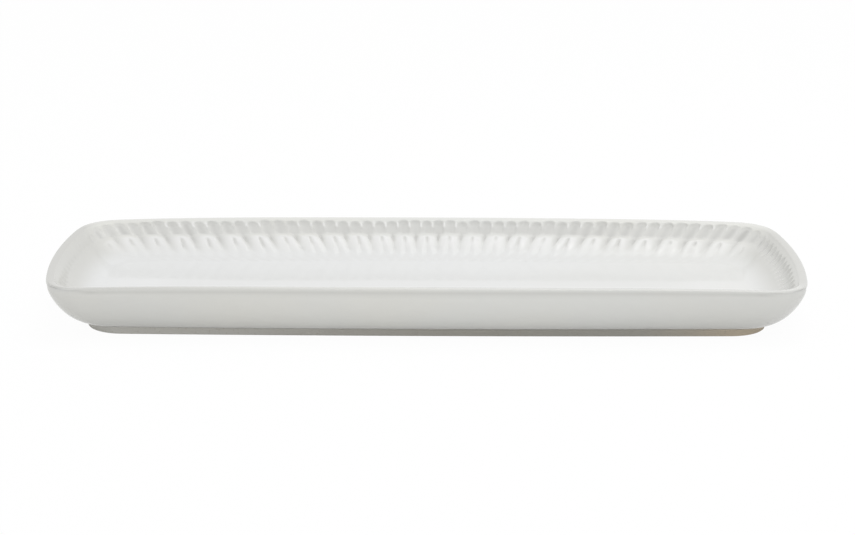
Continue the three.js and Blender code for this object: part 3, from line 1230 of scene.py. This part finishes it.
@dataclass
class Form:
    """The platter's shared form: plan, section, relief and the points of its skins."""

    length: float
    width: float
    height: float
    flow: GlazeFlow = GlazeFlow()
    pitch: float = 6.7 * MM
    crowding: float = 1.35
    wobble: float = 0.12 * MM
    wobble_waves: tuple[int, ...] = (2, 3, 4, 5, 6, 7, 8)
    wobble_tilt: float = 60.0
    wobble_least: float = 0.4
    middle_half: float = 0.112
    flood_front: float = 42 * MM
    flood_tail: float = 1.3
    flood_sharpness: float = 2.5
    corner_tuck: float = 0.6 * MM
    tuck_reach: float = 0.36
    rim_settle: float = 2.2 * MM
    settle_sharpness: float = 4.0
    seed: int = 5
    plan: PlanCurve = field(init=False)
    section: Section = field(init=False)
    relief: Relief = field(init=False)

    def __post_init__(self) -> None:
        """Works out the plan, the section and the relief with its count of petals."""
        self.section = Section(self.height)
        self.plan = PlanCurve(self.length, self.width, self.section.foot_inset)
        quarter = self.plan.quarter_length(self.section.lip_width)
        self.relief = Relief(PetalRow(2 * round(quarter / self.pitch), self.pitch, self.section.wall_length))

    def columns(self, per_flute: int) -> Columns:
        """Columns round the platter, set closer along the middle of each flute.

        Args:
            per_flute: Columns across each flute, an even number.

        Returns:
            The columns, starting in the middle of a flute.
        """
        even = np.arange(self.relief.count * per_flute) / per_flute
        middle = np.round(even)
        offset = even - middle
        place = (middle + np.sign(offset) * 0.5 * np.abs(2 * offset) ** self.crowding)[None, :]
        share = self.relief.share(place)
        inset = self.section.lip_width
        end, corner = self.plan.end_and_corner(inset, share)
        along_end = np.abs(share - 0.5) * 4 * self.plan.quarter_length(inset)
        front = 1 - smooth_step(self.flood_front, self.flood_tail * self.flood_front, along_end)
        on_left = (share > 0.25) & (share < 0.75)
        return Columns(
            place=place,
            share=share,
            end=end,
            corner=corner,
            past_corner=self.plan.past_corner(inset, share),
            lean=self.plan.points(np.float64(0.0), share)[0] * 2 / self.length,
            flooded=end**self.flood_sharpness * on_left * np.where(share > 0.5, front, 1.0),
        )

    def unevenness(self, rows: Rows, share: np.ndarray) -> np.ndarray:
        """Slow hand-made swells of the surface.

        Args:
            rows: Rows of the skin.
            share: Share of the way round, a row of values.

        Returns:
            How far each point stands out, rows by columns.
        """
        draw = np.random.default_rng(self.seed)
        swell = np.zeros((len(rows.inset), share.size))
        for waves in self.wobble_waves:
            phase = draw.uniform(0, 2 * math.pi)
            tilt = draw.uniform(-self.wobble_tilt, self.wobble_tilt)
            size = draw.uniform(self.wobble_least, 1) / waves
            swell += size * np.sin(2 * math.pi * waves * share + phase + tilt * rows.height[:, None])
        return self.wobble * swell

    def tucks(self, rows: Rows, columns: Columns) -> np.ndarray:
        """How deep each point lies in a tuck under the lip at a corner."""
        near = np.exp(-((columns.past_corner / self.tuck_reach) ** 2))
        return self.section.under_lip(rows, columns.corner) * near

    def points(self, rows: Rows, columns: Columns, sunk: float = 0.0) -> np.ndarray:
        """Points of a skin that follows the relief.

        Args:
            rows: Rows of the finished surface.
            columns: Columns of the skin.
            sunk: How far the skin lies under the finished surface.

        Returns:
            Points, rows by columns by 3.
        """
        down = rows.down[:, None]
        depth = self.relief.depth(down, columns) + self.corner_tuck * self.tucks(rows, columns)
        depth = depth + sunk - self.unevenness(rows, columns.share)
        # A hidden skin is too coarse to follow the narrow cuts, so it passes below them.
        if sunk > 0:
            depth = depth + self.relief.below_cuts(down)
        x, y = self.plan.points(rows.inset[:, None] - depth * rows.out_inset[:, None], columns.share)
        z = self.settled(x, rows.height[:, None] - depth * rows.out_height[:, None])
        return np.stack([x, y, z], axis=-1)

    def masks(self, rows: Rows, columns: Columns) -> dict[Mask, np.ndarray]:
        """Masks of the glaze on the finished surface.

        Args:
            rows: Rows of the finished surface.
            columns: Columns of the skin.

        Returns:
            The masks, rows by columns.
        """
        flow = self.flow
        down = rows.down[:, None]
        masks = flow.over_relief(down, columns, self.relief.carve(down, columns))
        above_foot = self.section.above_foot(rows)[:, None]
        # Painted shade, with some glaze pooling, in the corner tucks under the lip and just above the foot.
        outer_shade = np.maximum(flow.tuck_shade * self.tucks(rows, columns), flow.foot_shade * above_foot)
        # Less of the lighter highlight and well tones towards the right.
        right_dim = 1 - flow.right_dimming * smooth_step(*flow.right_dim_span, columns.lean)
        masks[Mask.POOL] = np.maximum(masks[Mask.POOL], outer_shade)
        masks[Mask.CREST] = masks[Mask.CREST] * right_dim
        masks[Mask.WELL] = self.section.in_well(rows)[:, None] * right_dim
        masks[Mask.THIN] = flow.thinned_and_shaded(rows, columns, self.section)
        return masks

    def level_rings(self, inset: np.ndarray, height: np.ndarray, columns: Columns) -> np.ndarray:
        """Level rings of points.

        Args:
            inset: How far the points lie inside the rim, rows by columns or one column of values.
            height: Height of each ring.
            columns: Columns of the rings.

        Returns:
            Points, rows by columns by 3.
        """
        x, y = self.plan.points(inset, columns.share)
        return np.stack([x, y, np.broadcast_to(height[:, None], x.shape)], axis=-1)

    def settled(self, x: np.ndarray, height: np.ndarray) -> np.ndarray:
        """Heights after the rim has settled towards the ends, with the floor and all below it left level.

        Args:
            x: How far along the platter each point lies.
            height: Its height before.

        Returns:
            The settled heights.
        """
        above_floor = np.maximum(0.0, height - self.section.floor_height) / self.section.well_depth
        towards_end = np.abs(2 * x / self.length) ** self.settle_sharpness
        return height - self.rim_settle * towards_end * above_floor**2

    def middle_line(self, ring: np.ndarray) -> np.ndarray:
        """A level ring drawn in to a line along the middle of the platter.

        Args:
            ring: Points of the ring.

        Returns:
            Points of the line, as one row of a grid.
        """
        line = ring.copy()
        line[:, 0] = np.clip(line[:, 0], -self.middle_half, self.middle_half)
        line[:, 1] = 0.0
        line[:, 2] = ring[:, 2].mean()
        return line[None]


@dataclass
class GlazeCoat:
    """The gloss glaze over the inside, the lip and the outer wall."""

    form: Form
    thickness: float = 0.5 * MM
    per_flute: int = 12
    plain_per_flute: int = 4
    inside_per_flute: int = 2
    inside_step: int = 2
    wall_steps: int = 36
    lip_inner_steps: int = 6
    lip_outer_steps: int = 7
    outer_steps: int = 20

    def build(self) -> bpy.types.Object:
        """Builds the coat as a closed shell that ends where the foot begins, finest over the relief.

        Returns:
            The coat.
        """
        section = self.form.section
        lip = section.lip_rows(self.lip_inner_steps, self.lip_outer_steps)
        floor = section.floor_rows()
        relief = section.wall_rows(self.wall_steps) + lip.part(0, self.lip_inner_steps)
        outer = lip.part(self.lip_inner_steps, None) + section.outer_rows(self.outer_steps)
        skin = SkinMesh()
        rings: list[np.ndarray] = []
        for rows in (floor, relief, outer):
            columns = self.form.columns(self.per_flute if rows is relief else self.plain_per_flute)
            points = self.form.points(rows, columns)
            masks = self.form.masks(rows, columns)
            if rows is floor:
                points = np.concatenate([self.form.middle_line(points[0]), points])
                masks = {mask: np.concatenate([values[:1], values]) for mask, values in masks.items()}
                masks[Mask.POOL][0] = self.form.flow.drained
            rings.append(skin.grid(points, masks))
        skin.seam(rings[1][0], rings[0][-1])
        skin.seam(rings[1][-1], rings[2][0])
        hidden = (floor + relief + outer).pick(self.inside_step)
        inside = self.form.points(hidden, self.form.columns(self.inside_per_flute), self.thickness)
        under = skin.grid(np.concatenate([self.form.middle_line(inside[0]), inside]))
        skin.seam(rings[2][-1], under[-1])
        return skin.build("glaze_skin")

    def dress(self, piece: bpy.types.Object, material: bpy.types.Material) -> None:
        """Gives the coat its glaze and its place in the frame."""
        place(piece, material, Slot.GLAZE, Node.COAT)


@dataclass
class ClayBody:
    """The fired clay under the glaze, bare on the foot ring."""

    form: Form
    sunk: float = 0.55 * MM
    per_flute: int = 4
    wall_steps: int = 18
    lip_steps: int = 3
    outer_steps: int = 12
    flank_steps: int = 6
    edge_steps: int = 5
    bearing_steps: int = 4
    cove_steps: int = 6
    glaze_lap: float = 0.05 * MM
    roof_clearance: float = 0.5 * MM
    pale_span: Span = (-0.9, 0.3)
    flush_span: Span = (0.5, 0.9)

    def foot_rows(self) -> Rows:
        """Rows of the foot ring, from under the glaze round to the recess's ceiling.

        Returns:
            The rows, with level ones across the ceiling last.
        """
        section = self.form.section
        edge = section.foot_edge
        side = section.foot_inset + section.foot_taper
        outer = side + edge
        inner = outer + section.foot_width
        ceiling = inner + edge + section.recess_run
        angle = section.turn(0.0, 1.0)
        flank = profile_rows(
            np.linspace(section.foot_inset + self.glaze_lap, side, section.fine),
            np.linspace(section.foot_height, edge, section.fine),
            self.flank_steps,
            skip_first=False,
        )
        toe = profile_rows(outer - edge * np.cos(angle), edge - edge * np.sin(angle), self.edge_steps)
        bearing = profile_rows(
            np.linspace(outer, inner, section.fine), np.zeros(section.fine), self.bearing_steps
        )
        heel = profile_rows(inner + edge * np.sin(angle), edge - edge * np.cos(angle), self.edge_steps)
        cove = profile_rows(
            inner + edge + section.recess_run * (1 - np.cos(angle)),
            edge + (section.recess_depth - edge) * np.sin(angle),
            self.cove_steps,
        )
        within = ceiling + self.roof_clearance
        insets = tuple(inset for inset in reversed(section.floor_insets) if inset > within)
        roof = level_rows(insets, section.recess_depth, -1.0)
        return flank + toe + bearing + heel + cove + roof

    def build(self) -> bpy.types.Object:
        """Builds the body as one closed solid.

        Returns:
            The body.
        """
        form = self.form
        section = form.section
        columns = form.columns(self.per_flute)
        inner = section.floor_rows() + section.wall_rows(self.wall_steps)
        outer = section.lip_rows(self.lip_steps, self.lip_steps) + section.outer_rows(self.outer_steps)
        upper = form.points(inner + outer, columns, self.sunk)
        foot = self.foot_rows()
        lower = form.level_rings(foot.inset[:, None], foot.height, columns)
        points = np.concatenate([form.middle_line(upper[0]), upper, lower, form.middle_line(lower[-1])])
        lean = points[..., 0] * 2 / form.length
        skin = SkinMesh()
        skin.grid(
            points,
            {
                Mask.PALE: 1 - smooth_step(*self.pale_span, lean),
                Mask.FLUSH: smooth_step(*self.flush_span, lean),
            },
        )
        return skin.build("clay_body")

    def dress(self, piece: bpy.types.Object, material: bpy.types.Material) -> None:
        """Gives the body its bare clay and its place in the frame."""
        place(piece, material, Slot.CLAY, Node.BODY)


@dataclass
class BaseGlaze:
    """The patch of glaze inside the foot ring."""

    form: Form
    edge_inset: float
    top: float
    bottom: float
    per_flute: int = 2
    creep: float = 0.7 * MM
    slow_waves: int = 7
    quick_waves: int = 17
    quick_share: float = 0.6
    quick_phase: float = 1.0
    edge_steps: int = 7
    border: float = 7.0 * MM

    def build(self) -> bpy.types.Object:
        """Builds the patch as a thin plate with a rounded, slightly wandering edge.

        Returns:
            The patch.
        """
        columns = self.form.columns(self.per_flute)
        way = 2 * math.pi * columns.share
        waves = np.sin(self.slow_waves * way)
        waves = waves + self.quick_share * np.sin(self.quick_waves * way + self.quick_phase)
        wander = self.creep * waves / (1 + self.quick_share)
        half = (self.top - self.bottom) / 2
        middle = (self.top + self.bottom) / 2
        turn = np.linspace(-0.5, 0.5, self.edge_steps) * math.pi
        inset = np.concatenate([[self.border], half * (1 - np.cos(turn)), [self.border]]) + self.edge_inset
        height = np.concatenate([[self.bottom], middle + half * np.sin(turn), [self.top]])
        rings = self.form.level_rings(inset[:, None] + self.creep + wander, height, columns)
        skin = SkinMesh()
        first, last = self.form.middle_line(rings[0]), self.form.middle_line(rings[-1])
        skin.grid(np.concatenate([first, rings, last]))
        return skin.build("base_glaze_patch")

    def dress(self, piece: bpy.types.Object, material: bpy.types.Material) -> None:
        """Gives the patch its glaze and its place in the frame."""
        place(piece, material, Slot.GLAZE, Node.BASE)


def place(piece: bpy.types.Object, material: bpy.types.Material, slot: Slot, node: Node) -> None:
    """Dresses a piece, sets it on its body and lets it stand for its node.

    Args:
        piece: The piece to place.
        material: Its material.
        slot: The record's slot that the material belongs to; not used.
        node: The CAD node that the piece stands for.
    """
    piece.data.materials.append(material)
    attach(piece, "root")
    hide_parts(node.value)
    LOG.info("%s: %d faces, stands for %s", piece.name, len(piece.data.polygons), node.value)


class Shader:
    """A node tree with short ways to add and join nodes."""

    def __init__(self, tree: bpy.types.NodeTree) -> None:
        """Takes the tree that nodes are added to."""
        self.tree = tree

    def add(
        self, kind: str, inputs: dict[str | int, object] | None = None, **settings: object
    ) -> bpy.types.Node:
        """Adds a node.

        Args:
            kind: Blender's name of the node type.
            inputs: Values or sockets for its inputs, by name or number.
            settings: Values for its own settings.

        Returns:
            The node.
        """
        node = self.tree.nodes.new(kind)
        for name, value in settings.items():
            setattr(node, name, value)
        for key, value in (inputs or {}).items():
            if isinstance(value, bpy.types.NodeSocket):
                self.tree.links.new(value, node.inputs[key])
            else:
                node.inputs[key].default_value = value
        return node

    def maths(self, operation: str, *values: object, clamp: bool = False) -> bpy.types.NodeSocket:
        """Result of an operation on values or sockets."""
        node = self.add("ShaderNodeMath", dict(enumerate(values)), operation=operation, use_clamp=clamp)
        return node.outputs[0]

    def mask(self, mask: Mask) -> bpy.types.NodeSocket:
        """Values of one of the piece's masks."""
        return self.add("ShaderNodeAttribute", attribute_name=mask.value).outputs["Fac"]

    def ramp(self, value: bpy.types.NodeSocket, low: float, high: float) -> bpy.types.NodeSocket:
        """Eased step of a socket between two values.

        Args:
            value: The socket.
            low: Value where the step starts.
            high: Value where the step ends.

        Returns:
            The eased value, from 0 to 1.
        """
        inputs = {"Value": value, "From Min": low, "From Max": high}
        node = self.add("ShaderNodeMapRange", inputs, interpolation_type="SMOOTHSTEP", clamp=True)
        return node.outputs["Result"]

    def blend(self, share: object, first: object, second: object) -> bpy.types.NodeSocket:
        """Colour between two colours or sockets."""
        node = self.add("ShaderNodeMix", {0: share, 6: first, 7: second}, data_type="RGBA")
        return node.outputs[2]

    def layered(
        self, base: Colour, layers: tuple[tuple[bpy.types.NodeSocket, Colour], ...]
    ) -> bpy.types.NodeSocket:
        """A base colour with others laid over it in turn.

        Args:
            base: The colour at the bottom.
            layers: Each colour above it, after the share that shows of it.

        Returns:
            The colour seen.
        """
        colour = base
        for share, tone in layers:
            colour = self.blend(share, colour, tone)
        return colour


class EffectGroup(Enum):
    """Effects that more than one material uses."""

    SPECKLE = "Speckle"
    DRIFT = "Tone Drift"
    GRAIN = "Surface Grain"


class Effects:
    """Shared shader node groups, each built once."""

    cloud_span: Span = (0.3, 0.7)

    def __init__(self) -> None:
        """Builds every group."""
        self.groups = {
            EffectGroup.SPECKLE: self.speckle(),
            EffectGroup.DRIFT: self.drift(),
            EffectGroup.GRAIN: self.grain(),
        }

    @staticmethod
    def start(
        effect: EffectGroup, inputs: dict[str, float], output: str
    ) -> tuple[Shader, dict[str, bpy.types.NodeSocket], bpy.types.Node]:
        """Starts a group with a Vector input, value inputs and one value output.

        Args:
            effect: The effect that the group makes.
            inputs: Names and default values of its value inputs.
            output: Name of its output.

        Returns:
            The group's shader helper, its input sockets by name and its output node.
        """
        tree = bpy.data.node_groups.new(effect.value, "ShaderNodeTree")
        tree.interface.new_socket("Vector", in_out="INPUT", socket_type="NodeSocketVector")
        for name, value in inputs.items():
            socket = tree.interface.new_socket(name, in_out="INPUT", socket_type="NodeSocketFloat")
            socket.default_value = value
        tree.interface.new_socket(output, in_out="OUTPUT", socket_type="NodeSocketFloat")
        shader = Shader(tree)
        entry = shader.add("NodeGroupInput")
        return shader, dict(entry.outputs.items()), shader.add("NodeGroupOutput")

    def speckle(self) -> bpy.types.NodeTree:
        """Small round specks, a share of the cells of a random pattern.

        Returns:
            The group.
        """
        values = {"Scale": 300.0, "Share": 0.2, "Size": 0.3}
        shader, given, leave = self.start(EffectGroup.SPECKLE, values, "Mask")
        cells = shader.add("ShaderNodeTexVoronoi", {"Vector": given["Vector"], "Scale": given["Scale"]})
        colours = shader.add("ShaderNodeSeparateColor", {0: cells.outputs["Color"]})
        chosen = shader.maths("LESS_THAN", colours.outputs[0], given["Share"])
        away = shader.maths("DIVIDE", cells.outputs["Distance"], given["Size"])
        near = shader.maths("SUBTRACT", 1.0, away, clamp=True)
        shader.tree.links.new(shader.maths("MULTIPLY", near, chosen), leave.inputs["Mask"])
        return shader.tree

    def drift(self) -> bpy.types.NodeTree:
        """Slow cloudy change of tone, from 0 to 1.

        Returns:
            The group.
        """
        shader, given, leave = self.start(EffectGroup.DRIFT, {"Scale": 20.0, "Detail": 3.0}, "Tone")
        inputs = {name: given[name] for name in ("Vector", "Scale", "Detail")}
        cloud = shader.add("ShaderNodeTexNoise", inputs)
        shader.tree.links.new(shader.ramp(cloud.outputs["Fac"], *self.cloud_span), leave.inputs["Tone"])
        return shader.tree

    def grain(self) -> bpy.types.NodeTree:
        """Height of a surface that rolls slowly and is finely rough.

        Returns:
            The group.
        """
        values = {"Roll Scale": 60.0, "Fine Scale": 900.0, "Fine Share": 0.2}
        shader, given, leave = self.start(EffectGroup.GRAIN, values, "Height")
        heights = []
        for scale, detail in (("Roll Scale", 1.0), ("Fine Scale", 3.0)):
            inputs = {"Vector": given["Vector"], "Scale": given[scale], "Detail": detail}
            heights.append(shader.add("ShaderNodeTexNoise", inputs).outputs["Fac"])
        roll, fine = heights
        finely = shader.maths("MULTIPLY", fine, given["Fine Share"])
        shader.tree.links.new(shader.maths("ADD", roll, finely), leave.inputs["Height"])
        return shader.tree

    def use(
        self, shader: Shader, effect: EffectGroup, vector: bpy.types.NodeSocket, **values: float
    ) -> bpy.types.NodeSocket:
        """Places a group in a material with its own values.

        Args:
            shader: The material's shader helper.
            effect: The effect to place.
            vector: Coordinates that the effect reads.
            values: Values of its inputs, with _ for a space.

        Returns:
            The group's output.
        """
        node = shader.add("ShaderNodeGroup", node_tree=self.groups[effect])
        shader.tree.links.new(vector, node.inputs["Vector"])
        for name, value in values.items():
            node.inputs[name.replace("_", " ").title()].default_value = value
        return node.outputs[0]


def start_material(name: str) -> tuple[bpy.types.Material, Shader, bpy.types.Node, bpy.types.NodeSocket]:
    """Starts a node material.

    Args:
        name: Name of the material.

    Returns:
        The material, its shader helper, its Principled shader and the object's coordinates.
    """
    material = bpy.data.materials.new(name)
    material.use_nodes = True
    shader = Shader(material.node_tree)
    principled = material.node_tree.nodes["Principled BSDF"]
    return material, shader, principled, shader.add("ShaderNodeTexCoord").outputs["Object"]


@dataclass(frozen=True)
class Finish:
    """What the finishes share: a name, a gloss that drifts and a bump."""

    name: str
    roughness: float
    roughness_swing: float
    bump: float
    bump_height: float

    def join(
        self,
        shader: Shader,
        principled: bpy.types.Node,
        colour: bpy.types.NodeSocket,
        drift: bpy.types.NodeSocket,
        height: bpy.types.NodeSocket,
    ) -> None:
        """Joins a colour, a drifting gloss and a surface's height to the Principled shader.

        Args:
            shader: The material's shader helper.
            principled: Its Principled shader.
            colour: The colour.
            drift: How the gloss drifts, from 0 to 1.
            height: Height of the surface.
        """
        gloss = shader.maths("MULTIPLY_ADD", drift, self.roughness_swing, self.roughness)
        inputs = {"Height": height, "Strength": self.bump, "Distance": self.bump_height}
        normal = shader.add("ShaderNodeBump", inputs).outputs[0]
        for value, socket in ((colour, "Base Color"), (gloss, "Roughness"), (normal, "Normal")):
            shader.tree.links.new(value, principled.inputs[socket])


@dataclass(frozen=True)
class GlazeFinish(Finish):
    """Gloss off-white glaze: grey where it pools, creamy grey where it is thin, with painted shade,
    highlights and glints.
    """

    name: str = "off_white_glaze"
    roughness: float = 0.04
    roughness_swing: float = 0.03
    bump: float = 0.05
    bump_height: float = 0.35 * MM
    base: Colour = (0.78, 0.777, 0.738, 1.0)
    cool: Colour = (0.772, 0.776, 0.75, 1.0)
    # Whiter glaze and painted reflection on the well's floor.
    well: Colour = (0.815, 0.822, 0.82, 1.0)
    # Grey of pooling glaze and of the shade painted into the relief.
    pooled_and_shaded: Colour = (0.722, 0.722, 0.704, 1.0)
    # Darkest grey, glaze pool with painted shade, in the deepest hollows.
    deep: Colour = (0.47, 0.47, 0.45, 1.0)
    # Painted highlight on the ribs and swells.
    crest: Colour = (0.835, 0.835, 0.828, 1.0)
    # Creamy grey of thin glaze, also laid on as painted shade.
    thin: Colour = (0.625, 0.623, 0.597, 1.0)
    # Painted highlight: near-white colour of the glints.
    painted_glint: Colour = (0.96, 0.958, 0.945, 1.0)
    speck: Colour = (0.52, 0.47, 0.38, 1.0)
    pool_onset: float = 0.6
    deep_onset: float = 4.0
    deep_share: float = 0.9
    speck_share: float = 0.08
    specular: float = 0.12

    def material(self, effects: Effects) -> bpy.types.Material:
        """Builds the glaze.

        Args:
            effects: The shared effects.

        Returns:
            The material.
        """
        material, shader, principled, spot = start_material(self.name)
        cloud = effects.use(shader, EffectGroup.DRIFT, spot, scale=16.0, detail=3.0)
        specks = effects.use(shader, EffectGroup.SPECKLE, spot, scale=420.0, share=0.05, size=0.32)
        pool = shader.mask(Mask.POOL)
        deepest = shader.maths("POWER", pool, self.deep_onset)
        layers = (
            (cloud, self.cool),
            # Whiter glaze and painted reflection on the well's floor.
            (shader.mask(Mask.WELL), self.well),
            # Thin glaze and painted shade.
            (shader.mask(Mask.THIN), self.thin),
            # Painted highlight on the ribs and swells.
            (shader.mask(Mask.CREST), self.crest),
            # Glaze pools and painted shade, darkest in the deepest hollows.
            (shader.maths("POWER", pool, self.pool_onset), self.pooled_and_shaded),
            (shader.maths("MULTIPLY", deepest, self.deep_share), self.deep),
            # Painted glints on the ribs and the petal ridges.
            (shader.mask(Mask.BREAK), self.painted_glint),
            (shader.maths("MULTIPLY", specks, self.speck_share), self.speck),
        )
        colour = shader.layered(self.base, layers)
        principled.inputs["Specular IOR Level"].default_value = self.specular
        height = effects.use(
            shader, EffectGroup.GRAIN, spot, roll_scale=70.0, fine_scale=700.0, fine_share=0.06
        )
        self.join(shader, principled, colour, cloud, height)
        return material


@dataclass(frozen=True)
class ClayFinish(Finish):
    """Matt fired stoneware: grey-beige with warm flushes, sandy grains and a fine tooth."""

    name: str = "bare_stoneware"
    roughness: float = 0.78
    roughness_swing: float = 0.14
    bump: float = 0.6
    bump_height: float = 0.25 * MM
    base: Colour = (0.45, 0.445, 0.41, 1.0)
    pale: Colour = (0.68, 0.67, 0.63, 1.0)
    flush: Colour = (0.64, 0.56, 0.44, 1.0)
    sand: Colour = (0.42, 0.38, 0.31, 1.0)
    flush_everywhere: float = 0.15
    sand_share: float = 0.7

    def material(self, effects: Effects) -> bpy.types.Material:
        """Builds the bare clay.

        Args:
            effects: The shared effects.

        Returns:
            The material.
        """
        material, shader, principled, spot = start_material(self.name)
        warm = effects.use(shader, EffectGroup.DRIFT, spot, scale=9.0, detail=4.0)
        grains = effects.use(shader, EffectGroup.SPECKLE, spot, scale=900.0, share=0.3, size=0.4)
        flush = shader.maths("ADD", shader.mask(Mask.FLUSH), self.flush_everywhere)
        layers = (
            (shader.mask(Mask.PALE), self.pale),
            (shader.maths("MULTIPLY", flush, warm), self.flush),
            (shader.maths("MULTIPLY", grains, self.sand_share), self.sand),
        )
        colour = shader.layered(self.base, layers)
        height = effects.use(
            shader, EffectGroup.GRAIN, spot, roll_scale=300.0, fine_scale=2200.0, fine_share=0.6
        )
        self.join(shader, principled, colour, warm, height)
        return material


@dataclass
class Studio:
    """White table, soft light from above and a camera at the photograph's angle."""

    form: Form
    image_width: float = 855.0
    focal_pixels: float = 2198.0
    pitch: float = math.radians(15.5)
    turn: float = math.radians(-0.05)
    roll: float = math.radians(0.25)
    rim_pixels_below_middle: float = -16.6
    rim_length_pixels: float = 745.0
    side_step: float = 0.36 * MM
    sensor: float = 36.0
    sky: float = 0.77
    softbox_power: float = 2.45
    softbox_size: float = 0.5
    softbox_place: Triple = (0.25, 0.0, 1.0)
    fill: float = 0.3
    fill_spread: float = math.radians(30)
    fill_tilt: float = math.radians(72)
    fill_side: float = math.radians(12)
    floor_radius: float = 8.0
    floor_tone: float = 1.0
    floor_bounce: float = 0.8
    floor_glow: float = 0.96
    floor_roughness: float = 0.9
    floor_segments: int = 96

    def camera(self) -> None:
        """Sets the camera that shows the rim at the photograph's size, place and angle."""
        distance = self.focal_pixels * self.form.length / self.rim_length_pixels
        rise = self.pitch + math.atan(self.rim_pixels_below_middle / self.focal_pixels)
        back = distance * math.cos(rise)
        lens = bpy.data.cameras.new("studio_camera")
        lens.sensor_width = self.sensor
        lens.lens = self.focal_pixels * self.sensor / self.image_width
        eye = bpy.data.objects.new("studio_camera", lens)
        cosine, sine = math.cos(self.turn), math.sin(self.turn)
        eye.location = (
            self.side_step * cosine + back * sine,
            self.side_step * sine - back * cosine,
            self.form.height + distance * math.sin(rise),
        )
        aim = Euler((math.pi / 2 - self.pitch, 0.0, self.turn)).to_matrix()
        eye.rotation_euler = (aim @ Matrix.Rotation(self.roll, 3, "Z")).to_euler()
        bpy.context.scene.collection.objects.link(eye)
        bpy.context.scene.camera = eye

    def light(self) -> None:
        """Adds the soft light from above, a low fill from the front and the even light from all round."""
        box = bpy.data.lights.new("softbox", "AREA")
        box.energy = self.softbox_power
        box.size = self.softbox_size
        self.hang(box, self.softbox_place)
        fill = bpy.data.lights.new("front_fill", "SUN")
        fill.energy = self.fill
        fill.angle = self.fill_spread
        self.hang(fill, self.softbox_place, (self.fill_tilt, 0.0, self.fill_side))
        world = bpy.data.worlds.new("studio_world")
        world.use_nodes = True
        bpy.context.scene.world = world
        shader = Shader(world.node_tree)
        background = world.node_tree.nodes["Background"]
        seen = self.seen_ray(shader)
        strength = shader.maths("MULTIPLY_ADD", seen, 1.0 - self.sky, self.sky)
        background.inputs["Color"].default_value = WHITE
        world.node_tree.links.new(strength, background.inputs["Strength"])

    @staticmethod
    def hang(lamp: bpy.types.Light, spot: Triple, turn: Triple = (0.0, 0.0, 0.0)) -> None:
        """Hangs a lamp that shines straight down, or turned from there.

        Args:
            lamp: The lamp.
            spot: Where it hangs.
            turn: How far it is turned about each axis.
        """
        holder = bpy.data.objects.new(lamp.name, lamp)
        holder.location = spot
        holder.rotation_euler = turn
        bpy.context.scene.collection.objects.link(holder)

    @staticmethod
    def seen_ray(shader: Shader) -> bpy.types.NodeSocket:
        """Tells the rays that show a surface to the camera from those that only light others.

        Args:
            shader: The shader helper of the material or the world.

        Returns:
            1 for rays that come from the camera straight or by gloss or glass, and else 0.
        """
        path = shader.add("ShaderNodeLightPath")
        shown = shader.maths("MAXIMUM", path.outputs["Is Camera Ray"], path.outputs["Is Glossy Ray"])
        return shader.maths("MAXIMUM", shown, path.outputs["Is Transmission Ray"])

    def floor(self) -> None:
        """Lays the white table, which keeps a soft shadow of the platter."""
        mesh = bpy.data.meshes.new("table")
        work = bmesh.new()
        bmesh.ops.create_circle(work, cap_ends=True, segments=self.floor_segments, radius=self.floor_radius)
        work.to_mesh(mesh)
        work.free()
        table = bpy.data.objects.new("table", mesh)
        bpy.context.scene.collection.objects.link(table)
        material, shader, principled, _ = start_material("white_table")
        tone, bounce = self.floor_tone, self.floor_bounce
        seen = self.seen_ray(shader)
        colour = shader.blend(seen, (bounce, bounce, bounce, 1.0), (tone, tone, tone, 1.0))
        shader.tree.links.new(colour, principled.inputs["Base Color"])
        principled.inputs["Roughness"].default_value = self.floor_roughness
        principled.inputs["Specular IOR Level"].default_value = 0.0
        glow = shader.add("ShaderNodeEmission", {"Color": WHITE, "Strength": 1.0})
        share = shader.maths("MULTIPLY", seen, self.floor_glow)
        mix = shader.add("ShaderNodeMixShader", {0: share, 1: principled.outputs[0], 2: glow.outputs[0]})
        shader.tree.links.new(mix.outputs[0], shader.tree.nodes["Material Output"].inputs["Surface"])
        mesh.materials.append(material)

    def set_up(self) -> None:
        """Sets the camera, the lights, the table and the plain view."""
        self.camera()
        self.light()
        self.floor()
        bpy.context.scene.view_settings.view_transform = "Standard"


def main() -> None:
    """Builds and dresses every piece, then the studio."""
    logging.basicConfig(level=logging.INFO, format="%(name)s %(message)s")
    low, high = CAD_BOX
    form = Form(high[0] - low[0], high[1] - low[1], high[2] - low[2])
    effects = Effects()
    glaze = GlazeFinish().material(effects)
    clay = ClayFinish().material(effects)

    coat = GlazeCoat(form)
    coat.dress(coat.build(), glaze)
    body = ClayBody(form)
    body.dress(body.build(), clay)
    base_low, base_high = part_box(Node.BASE.value)
    base = BaseGlaze(form, form.width / 2 - base_high[1], base_high[2], base_low[2])
    base.dress(base.build(), glaze)

    Studio(form).set_up()


if __name__ == "__main__":
    main()
